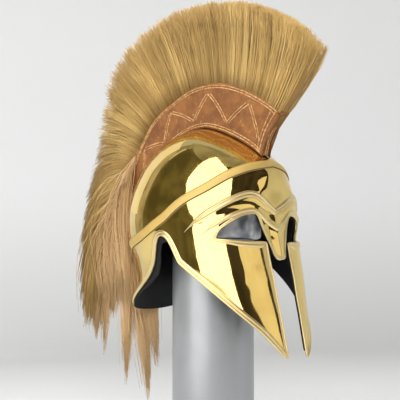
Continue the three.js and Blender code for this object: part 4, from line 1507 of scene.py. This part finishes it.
# Depths at which hair and its dense core start, as shares of the leather's outer edge, the
# gap between hair and leather, how far the brush has spread at the bend, and the strands'
# scatter at their tips, their waves along the length, and their tones and thicknesses.
HAIR_DEPTH = 0.93
CORE_DEPTH = 0.88
HAIR_GAP = 0.0006
BEND_SPREAD = 0.72
TIP_SPREAD = (0.75, 1.0)
SIDE_SCATTER = 0.0012
SWAY_WAVES = 3.0
STRAND_TONE = (0.5, 0.22)
STRAND_THICKNESS = (0.75, 1.25)


def draw_locks(rng):
    """Locks along the whole crest: root angle, side, length, sway and tone."""
    before, after = LOCK_MARGINS
    return (
        rng.uniform(FIRST_ROOT - before, LAST_ROOT + after, CREST_LOCKS),
        rng.uniform(-1, 1, CREST_LOCKS),
        rng.normal(*LOCK_LENGTH, CREST_LOCKS),
        rng.normal(0, LOCK_SWAY, CREST_LOCKS),
        rng.normal(0, LOCK_TONE, CREST_LOCKS),
    )


def standing_strands(start, end, count, drawn, rng):
    """Lines of standing hair between two root angles, gathered into the drawn locks."""
    s = sizes()
    locks, lock_side, lock_length, lock_sway, lock_tone = drawn
    angle = rng.uniform(start, end, count)
    side = rng.uniform(-1, 1, count)
    gap = (((angle[:, None] - locks) / LOCK_DEGREES) ** 2
           + ((side[:, None] - lock_side) / LOCK_SIDE) ** 2)
    lock = gap.argmin(1)
    pull = rng.uniform(*LOCK_PULL, count)
    tip_angle = angle * (1 - pull) + locks[lock] * pull + rng.normal(0, TIP_SCATTER, count)
    tip_angle = np.clip(tip_angle, FIRST_ROOT - 1, LAST_ROOT)
    tip_side = side * (1 - pull) + lock_side[lock] * pull
    root, bend, _ = hair_ends(angle)
    _, _, tip = hair_ends(tip_angle)
    reach = lock_length[lock] * np.minimum(rng.normal(*STRAND_LENGTH, count), GREATEST_LENGTH)
    cut = rng.uniform(*WISPY_CUT, count) + WISPY_LOCK * (1 - lock_length[lock])
    reach = reach * (1 - smoothstep(*WISPY_ANGLES, angle) * cut)
    stray = rng.random(count) < STRAY_SHARE
    reach = np.where(stray, reach * rng.uniform(*STRAY_LENGTH, count), reach)
    tip = root + (tip - root) * reach[:, None]
    half = box_half(HAIR_GAP)
    base = in_crest(crest_point(angle, s.crest_radius * HAIR_DEPTH), side * half)
    middle = in_crest(bend, side * (half + (s.hair_spread / 2 - half) * BEND_SPREAD))
    far = in_crest(tip, tip_side * s.hair_spread / 2 * rng.uniform(*TIP_SPREAD, count))
    t = np.broadcast_to(np.linspace(0, 1, STRAND_STEPS + 1), (count, STRAND_STEPS + 1))
    sway = lock_sway[lock][:, None] * np.sin(t * SWAY_WAVES + locks[lock][:, None])
    across = unit(np.cross(unit(far - base), np.array([1.0, 0.0, 0.0])))
    lines = bezier(base, middle, far, t) + across[:, None] * (sway * t)[..., None]
    lines[..., 0] += rng.normal(0, SIDE_SCATTER, count)[:, None] * t
    tone = np.clip(rng.normal(*STRAND_TONE, count) + lock_tone[lock], 0, 1)
    return lines, s.strand * rng.uniform(*STRAND_THICKNESS, count), tone


# Dense core of a block: waves, shares of the hair's length where its rings lie, how far it
# reaches and spreads, its margins in degrees, the depth of its waves and its narrow end.
CORE_WAVES = 16
CORE_PLACES = (-1.0, 0.0, 0.2, 0.4, 0.6, 0.8, 1.0)
CORE_REACH = 0.84
CORE_SPREAD = 0.5
CORE_MARGIN = 0.3
CORE_HOLLOW = 0.93
CORE_BELLY = (2.0, 1.9)
CORE_END = 0.35


def core_rings(start, end):
    """Rings of the dense hair inside a block, waved into locks. The first is at its root."""
    s = sizes()
    angle = np.linspace(start + CORE_MARGIN, end - CORE_MARGIN, 2 * CORE_WAVES + 1)
    wave = np.where(np.arange(len(angle)) % 2 == 1, 1.0, CORE_HOLLOW)
    half = box_half(HAIR_GAP)
    spread = s.hair_spread / 2 * CORE_SPREAD
    root, bend, tip = hair_ends(angle)
    rate, widest = CORE_BELLY
    rings = []
    for t in CORE_PLACES:
        if t < 0:
            place, width = crest_point(angle, s.crest_radius * CORE_DEPTH), np.full(len(angle), half)
        else:
            place = bezier(root, bend, tip, (t * CORE_REACH * wave)[:, None])[:, 0]
            width = half + (spread - half) * np.sin(min(t * rate, widest)) * wave
            width = width * (1.0 if t < 1 else CORE_END)
        rings.append(np.concatenate([in_crest(place, -width), in_crest(place, width)[::-1]]))
    return np.stack(rings)


def make_standing_hair():
    """Blocks of the standing brush, each of strands over a dense core."""
    s = sizes()
    rng = np.random.default_rng(s.seed)
    finish = hair_finish()
    drawn = draw_locks(rng)
    for name, first, last in HAIR_GROUPS:
        start, end = CREST_ROWS[first][0], CREST_ROWS[last][0]
        lines, thick, tone = standing_strands(start, end, s.strands, drawn, rng)
        mesh = hair_mesh(name + "_strands", lines, thick, tone)
        strands = settle(name + "_strands", mesh, [finish])
        core = MeshParts()
        core.loft(core_rings(start, end))
        dense = core.piece(name + "_core", [finish])
        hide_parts(name)
        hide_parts(name)


# Tail: strands as a multiple of a block's, steps along a strand, angles at which hair leaves
# the inside of the box, how far the last roots lie behind the nape, and the angles between
# which the locks over the leather begin on the box's edge.
TAIL_SHARE = 1.3
TAIL_STEPS = 6
TAIL_ROOT_ANGLES = (162.0, 170.0, 178.0, 185.0)
ROOT_BEHIND = 0.003
OVER_FIRST = 146
OVER_SPAN = 44

# A root's scatter within its lock, the share of hair over the leather that lies on the right
# side, a strand's drop as middle, spread, least and greatest, its bend's shares of the way
# back and down, and how far behind the nape the bend stays, in nape reaches.
ROOT_SCATTER = 0.16
RIGHT_SHARE = 0.6
TAIL_FALL = (0.88, 0.09)
FALL_LIMITS = (0.55, 1.1)
TAIL_BEND = (0.8, 0.32)
BEND_CLEAR = 1.09

# Hair over the leather: its height above it at the root, and how much more at the bend. Hair
# from inside: how much of its tip's and of its root's side it has at the bend.
OVER_HEIGHT = (0.001, 0.004)
OVER_SWELL = 0.003
BEND_TIP_SIDE = 0.55
BEND_ROOT_SIDE = 1.6

# A lock swells along its length and keeps a share of its width at the tip. Some strands are
# loose and swing wider. Locks that hang nearer than this many nape reaches only scatter away
# from the nape. Then come the spread and the waves of a lock's sway, and tones and thickness.
SWELL_POWER = 0.85
TIP_WIDTH = 0.36
LOOSE_SHARE = 0.14
LOOSE_WIDTH = 1.6
LOOSE_SWING = 0.5
LOCK_SCATTER = 0.5
NEAR_NAPE = 1.25
TAIL_SWAY = 0.003
TAIL_WAVES = 5
TAIL_PHASES = (0, 6)
TAIL_TONE = (0.55, 0.2)
TAIL_LOCK_TONE = 0.14
TAIL_THICKNESS = (0.7, 1.15)


def tail_roots(share, over):
    """Roots of tail hair, as forward and level: inside the box, or on its rear edge."""
    s = sizes()
    ends = crest_point(np.array(TAIL_ROOT_ANGLES), s.crest_radius * CORE_DEPTH)
    line = np.concatenate([ends, [(-s.nape_reach - ROOT_BEHIND, s.crest_end)]])
    at = np.linspace(0, 1, len(line))
    inside = np.stack([np.interp(share, at, line[:, 0]), np.interp(share, at, line[:, 1])], -1)
    return np.where(over[:, None] > 0, box_edge(OVER_FIRST + OVER_SPAN * share), inside)


def tail_strands(count, rng):
    """Lines of the hanging hair, each in one of the tail's locks."""
    s = sizes()
    table = np.array(TAIL_LOCKS, float)
    weights = table[:, -1]
    lock = rng.choice(len(table), count, p=weights / weights.sum())
    root, over, reach, drop, side, width, _ = table[lock].T
    share = np.abs(root + rng.uniform(-ROOT_SCATTER, ROOT_SCATTER, count) * (1 + over))
    share = 1 - np.abs(1 - share)
    base = tail_roots(share, over)
    hand = np.where(rng.random(count) < RIGHT_SHARE, -1, 1)
    fall = np.clip(rng.normal(*TAIL_FALL, count), *FALL_LIMITS)
    tip = np.stack([-s.nape_reach * reach, s.crest_end - s.tail_drop * drop * fall], -1)
    bend = base + (tip - base) * TAIL_BEND
    bend[:, 0] = np.minimum(bend[:, 0], -BEND_CLEAR * s.nape_reach)
    half = box_half(HAIR_GAP)
    above = s.crest_thickness / 2 + rng.uniform(*OVER_HEIGHT, count)
    root_side = np.where(over > 0, hand * above, rng.uniform(-half, half, count))
    tip_side = np.where(over > 0, -hand, 1) * side * s.tail_spread / 2
    from_inside = BEND_TIP_SIDE * tip_side + BEND_ROOT_SIDE * root_side
    mid_side = np.where(over > 0, hand * (above + OVER_SWELL), from_inside)
    t = np.broadcast_to(np.linspace(0, 1, TAIL_STEPS + 1), (count, TAIL_STEPS + 1))
    lines = bezier(in_crest(base, root_side), in_crest(bend, mid_side), in_crest(tip, tip_side), t)
    swell = np.sin(math.pi * t**SWELL_POWER) + TIP_WIDTH * t * t
    loose = np.where(rng.random(count) < LOOSE_SHARE, LOOSE_WIDTH, 1.0)
    swell = swell + (loose[:, None] - 1) * LOOSE_SWING * t * t
    away = rng.normal(0, LOCK_SCATTER, (count, 2)) * (width * loose)[:, None]
    back, across = away.T
    back = np.where(reach < NEAR_NAPE, np.abs(back), back)
    across = np.where(over > 0, np.abs(across) * hand, across)
    lines[..., 1] += back[:, None] * swell
    lines[..., 0] += across[:, None] * swell
    sway = rng.normal(0, TAIL_SWAY, len(table))[lock]
    phase = rng.uniform(*TAIL_PHASES, len(table))[lock]
    lines[..., 1] += sway[:, None] * np.sin(t * TAIL_WAVES + phase[:, None]) * t
    own_tone = rng.normal(*TAIL_TONE, count)
    tone = np.clip(own_tone + rng.normal(0, TAIL_LOCK_TONE, len(table))[lock], 0, 1)
    return lines, s.strand * rng.uniform(*TAIL_THICKNESS, count), tone


def make_tail():
    """Hanging tail, in the frame's plain horsehair."""
    s = sizes()
    rng = np.random.default_rng(s.seed + 1)
    lines, thick, tone = tail_strands(int(s.strands * TAIL_SHARE), rng)
    mesh = hair_mesh("crest_tail_strands", lines, thick, tone)
    strands = settle("crest_tail_strands", mesh, [bpy.data.materials["horsehair"]])
    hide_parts("crest_tail")


# Stand

# Sides of the turned pieces, the radius that stands for their axis, the roundings of the
# column's and the dome's corners, a rounding's greatest share of an edge, and how closely
# heights of the cap's points are taken as one.
STAND_SIDES = 128
AXIS_RADIUS = 0.001
COLUMN_ROUNDING = 0.0015
DOME_ROUNDING = 0.012
ROUNDING_SHARE = 0.45
HEIGHT_DIGITS = 5
HEIGHT_MATCH = 2e-5


def turned_rings(profile, sides):
    """Rings of a body turned round the upright axis."""
    turn = np.linspace(0, 2 * math.pi, sides, endpoint=False)
    return np.stack([np.stack([r * np.cos(turn), r * np.sin(turn), np.full(sides, z)], -1)
                     for r, z in profile])


def rounded(profile, radius, steps=5):
    """A profile whose corners are rounded off."""
    points = [np.array(p, float) for p in profile]
    result = [points[0]]
    for before, corner, after in zip(points, points[1:], points[2:]):
        back, on = before - corner, after - corner
        cut = min([radius] + [ROUNDING_SHARE * np.linalg.norm(edge) for edge in (back, on)])
        start = corner + back / np.linalg.norm(back) * cut
        end = corner + on / np.linalg.norm(on) * cut
        for t in np.linspace(0, 1, steps):
            result.append((1 - t) ** 2 * start + 2 * t * (1 - t) * corner + t**2 * end)
    result.append(points[-1])
    return result


def turned_piece(name, profile, finish):
    """A piece of the stand, turned from its profile."""
    parts = MeshParts()
    parts.loft(turned_rings(profile, STAND_SIDES))
    return parts.piece(name, [finish])


def make_stand():
    """Column and rounded cap, turned to the solids' own sizes."""
    low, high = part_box("stand_column")
    radius = (high.x - low.x) / 2
    profile = [(AXIS_RADIUS, 0.0), (radius, 0.0), (radius, high.z), (AXIS_RADIUS, high.z)]
    made = turned_piece("stand_tube", rounded(profile, COLUMN_ROUNDING), stand_finish())
    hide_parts("stand_column")
    low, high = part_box("stand_cap")
    places = [vertex.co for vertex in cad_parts["stand_cap"].data.vertices]
    steps = []
    for height in sorted({round(place.z, HEIGHT_DIGITS) for place in places}):
        ring = [math.hypot(place.x, place.y) for place in places
                if abs(place.z - height) < HEIGHT_MATCH]
        steps.append((max(max(ring), AXIS_RADIUS), height))
    profile = [(AXIS_RADIUS, low.z)] + steps[:-1] + [(AXIS_RADIUS, high.z)]
    made = turned_piece("stand_dome", rounded(profile, DOME_ROUNDING), cap_finish())
    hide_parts("stand_cap")


# Stage

# The camera's aim, its turn from the helmet's front towards its left, its tilt upwards, its
# distance, and its lens and film width in millimetres.
AIM = Vector((-0.01264, 0.01264, 0.335))
CAMERA_TURN = -45.0
CAMERA_TILT = -4.0
CAMERA_AWAY = 1.6
CAMERA_SIGHT = 50.0
LENS = 104.7
FILM_WIDTH = 36.0

# Lights: turn and tilt as for the camera, distance, side, power and whether they face away.
LIGHTS = (
    ("key_light", -95, 50, 2.1, 1.3, 44.0, False),
    ("front_light", -46, 14, 2.2, 0.5, 22.0, False),
    ("top_light", 60, 70, 2.4, 1.8, 22.0, False),
    ("side_light", 42, 8, 2.0, 0.8, 7.0, False),
    ("rear_light", -146, 24, 2.1, 1.0, 7.0, False),
    ("wall_light", 168, 27, 1.4, 1.2, 15.0, True),
)
WORLD_COLOUR = (0.93, 0.95, 1.0, 1.0)
WORLD_STRENGTH = 0.55

# Backdrop: flat floor, the curve above it and the straight wall, as radius and height.
BACKDROP_SIDES = 96
FLOOR_RADIUS = 2.2
CURVE_RADIUS = 1.4
CURVE_ANGLES = (0.1, 1.5)
WALL = ((3.62, 2.2), (3.62, 4.5))

# Studio cards round the helmet, seen only in polished metal: distance, tone and strength,
# then rows of tilt and of the turns where the card begins and ends, in degrees from the
# helmet's front, towards its left and up.
CARDS = (
    ("card_window", 2.25, (1.0, 0.985, 0.95), 2.7, (
        (-14, -108, -60), (4, -112, -60), (12, -113, -55), (20, -116, -51), (36, -120, -46),
        (44, -119, -51), (52, -119, -58), (60, -119, -68), (68, -119, -84), (74, -118, -108),
    )),
    ("card_gold", 2.25, (1.0, 0.93, 0.78), 0.97, (
        (6, -35, 15), (12, -31, 20), (18, -27, 23), (22, -22, 25),
    )),
    ("card_dark_front", 2.35, (0.05, 0.042, 0.03), 1.0, (
        (-14, -67, 24), (20, -67, 29), (62, -90, 35),
    )),
    ("card_dark_rear", 2.35, (0.135, 0.12, 0.06), 1.0, (
        (-11, -160, -106), (30, -161, -110), (60, -164, -104),
    )),
    ("card_mid_rear", 2.4, (0.42, 0.38, 0.3), 1.0, (
        (-14, -175, -158), (60, -175, -160),
    )),
    ("card_streak", 2.25, (1.0, 0.95, 0.85), 0.8, (
        (39, -163.5, -161.5), (54, -166, -163),
    )),
    ("card_pale_rear", 2.35, (1.0, 0.96, 0.86), 1.0, (
        (6, 150, 188), (48, 153, 188),
    )),
    ("card_dark_top", 2.4, (0.3, 0.29, 0.24), 1.0, (
        (59, -180, 60), (89, -180, 60),
    )),
    ("card_dark_floor", 2.3, (0.34, 0.28, 0.19), 1.0, (
        (-88, -180, 180), (-36, -180, 180),
    )),
)
CARD_CELLS = 24


def studio_card(name, away, tone, strength, rows):
    """One curved card, from its rows of tilt and turns."""
    tilts, begins, ends = np.array(rows, float).T
    tilt = np.linspace(tilts[0], tilts[-1], CARD_CELLS + 1)[:, None]
    across = np.linspace(0, 1, CARD_CELLS + 1)[None, :]
    begin, end = np.interp(tilt, tilts, begins), np.interp(tilt, tilts, ends)
    turn = np.radians(begin + (end - begin) * across)
    tilt = np.radians(tilt) + np.zeros_like(turn)
    points = away * np.stack([
        np.sin(turn) * np.cos(tilt),
        -np.cos(turn) * np.cos(tilt),
        np.sin(tilt),
    ], -1)
    points[..., 2] += AIM.z
    row = CARD_CELLS + 1
    corners = [r * row + c for r in range(CARD_CELLS) for c in range(CARD_CELLS)]
    quads = [(a, a + 1, a + row + 1, a + row) for a in corners]
    mesh = bpy.data.meshes.new(name)
    mesh.from_pydata(points.reshape(-1, 3).tolist(), [], quads)
    mesh.materials.append(card_finish(name, tone, strength))
    card = linked(name, mesh)
    card.visible_camera = False
    card.visible_diffuse = False
    card.visible_shadow = False
    card.visible_transmission = False


def make_backdrop():
    """Pale floor that curves up into a round wall, open at its top."""
    profile = [(AXIS_RADIUS, 0.0), (FLOOR_RADIUS, 0.0)]
    for a in np.linspace(*CURVE_ANGLES, 14):
        height = CURVE_RADIUS - CURVE_RADIUS * math.cos(a)
        profile.append((FLOOR_RADIUS + CURVE_RADIUS * math.sin(a), height))
    profile.extend(WALL)
    points = turned_rings(profile, BACKDROP_SIDES).reshape(-1, 3)
    faces = ring_faces(len(profile), BACKDROP_SIDES, False)[:-1]
    mesh = bpy.data.meshes.new("backdrop")
    mesh.from_pydata(points.tolist(), [], faces)
    mesh.polygons.foreach_set("use_smooth", [True] * len(mesh.polygons))
    mesh.materials.append(backdrop_finish())
    linked("backdrop", mesh)


def heading(turn, tilt):
    """Direction at a turn from the helmet's front towards its left, and a tilt upwards."""
    a, b = math.radians(turn), math.radians(tilt)
    return Vector((math.sin(a) * math.cos(b), -math.cos(a) * math.cos(b), math.sin(b)))


def soft_light(name, turn, tilt, away, side, power, faces_away):
    """Soft square light that faces the helmet, or faces away from it to light the wall."""
    data = bpy.data.lights.new(name, "AREA")
    data.shape = "RECTANGLE"
    data.size = side
    data.size_y = side
    data.energy = power
    lamp = linked(name, data)
    direction = heading(turn, tilt)
    lamp.location = AIM + direction * away
    back = -direction if faces_away else direction
    lamp.rotation_euler = back.to_track_quat("Z", "Y").to_euler()
    lamp.visible_camera = False
    lamp.visible_glossy = False


def make_stage():
    """Backdrop, studio cards, lights and camera."""
    make_backdrop()
    for card in CARDS:
        studio_card(*card)
    for light in LIGHTS:
        soft_light(*light)
    world = bpy.data.worlds.new("studio")
    world.use_nodes = True
    background = world.node_tree.nodes["Background"].inputs
    background["Color"].default_value = WORLD_COLOUR
    background["Strength"].default_value = WORLD_STRENGTH
    bpy.context.scene.world = world
    data = bpy.data.cameras.new("camera")
    data.lens = LENS
    data.sensor_width = FILM_WIDTH
    data.clip_end = CAMERA_SIGHT
    camera = linked("camera", data)
    direction = heading(CAMERA_TURN, CAMERA_TILT)
    camera.location = AIM + direction * CAMERA_AWAY
    camera.rotation_euler = direction.to_track_quat("Z", "Y").to_euler()
    bpy.context.scene.camera = camera
    bpy.context.scene.view_settings.view_transform = "Standard"


# Operators and panel

class HELMET_OT_shell(bpy.types.Operator):
    """Make the polished brass shell with its raised lines and rolled edges"""

    bl_idname = "helmet.shell"
    bl_label = "Brass shell"

    def execute(self, context):
        made = make_brass_shell()
        make_raised_lines()
        make_rolled_edges()
        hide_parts("shell")
        return {"FINISHED"}


class HELMET_OT_lining(bpy.types.Operator):
    """Make the black leather lining"""

    bl_idname = "helmet.lining"
    bl_label = "Lining"

    def execute(self, context):
        make_lining()
        return {"FINISHED"}


class HELMET_OT_crest_sides(bpy.types.Operator):
    """Make the two tooled leather sides of the crest box"""

    bl_idname = "helmet.crest_sides"
    bl_label = "Leather crest box"

    def execute(self, context):
        make_crest_sides()
        make_crest_front()
        return {"FINISHED"}


class HELMET_OT_hair(bpy.types.Operator):
    """Make the standing horsehair and the hanging tail"""

    bl_idname = "helmet.hair"
    bl_label = "Horsehair"

    def execute(self, context):
        make_standing_hair()
        make_tail()
        return {"FINISHED"}


class HELMET_OT_stand(bpy.types.Operator):
    """Make the plain column and the rounded cap inside the crown"""

    bl_idname = "helmet.stand"
    bl_label = "Stand"

    def execute(self, context):
        make_stand()
        return {"FINISHED"}


class HELMET_OT_stage(bpy.types.Operator):
    """Make the backdrop, the studio lights and the camera"""

    bl_idname = "helmet.stage"
    bl_label = "Stage"

    def execute(self, context):
        make_stage()
        return {"FINISHED"}


OPERATORS = (
    HELMET_OT_shell,
    HELMET_OT_lining,
    HELMET_OT_crest_sides,
    HELMET_OT_hair,
    HELMET_OT_stand,
    HELMET_OT_stage,
)


class HELMET_PT_panel(bpy.types.Panel):
    """Sizes, colours and the pieces to make"""

    bl_idname = "HELMET_PT_panel"
    bl_label = "Crested helmet"
    bl_space_type = "VIEW_3D"
    bl_region_type = "UI"
    bl_category = "Helmet"

    def draw(self, context):
        for operator in OPERATORS:
            self.layout.operator(operator.bl_idname)
        for group in (context.scene.helmet_sizes, context.scene.helmet_colours):
            box = self.layout.box()
            for name in group.__annotations__:
                box.prop(group, name)


CLASSES = (HelmetSizes, HelmetColours) + OPERATORS + (HELMET_PT_panel,)


def register():
    """Adds the settings, operators and panel."""
    for item in CLASSES:
        bpy.utils.register_class(item)
    bpy.types.Scene.helmet_sizes = PointerProperty(type=HelmetSizes)
    bpy.types.Scene.helmet_colours = PointerProperty(type=HelmetColours)


def unregister():
    """Takes them away again."""
    del bpy.types.Scene.helmet_colours
    del bpy.types.Scene.helmet_sizes
    for item in reversed(CLASSES):
        bpy.utils.unregister_class(item)


def main():
    """Makes every piece in order."""
    register()
    bpy.ops.helmet.stage()
    bpy.ops.helmet.stand()
    bpy.ops.helmet.shell()
    bpy.ops.helmet.lining()
    bpy.ops.helmet.crest_sides()
    bpy.ops.helmet.hair()


if __name__ == "__main__":
    main()
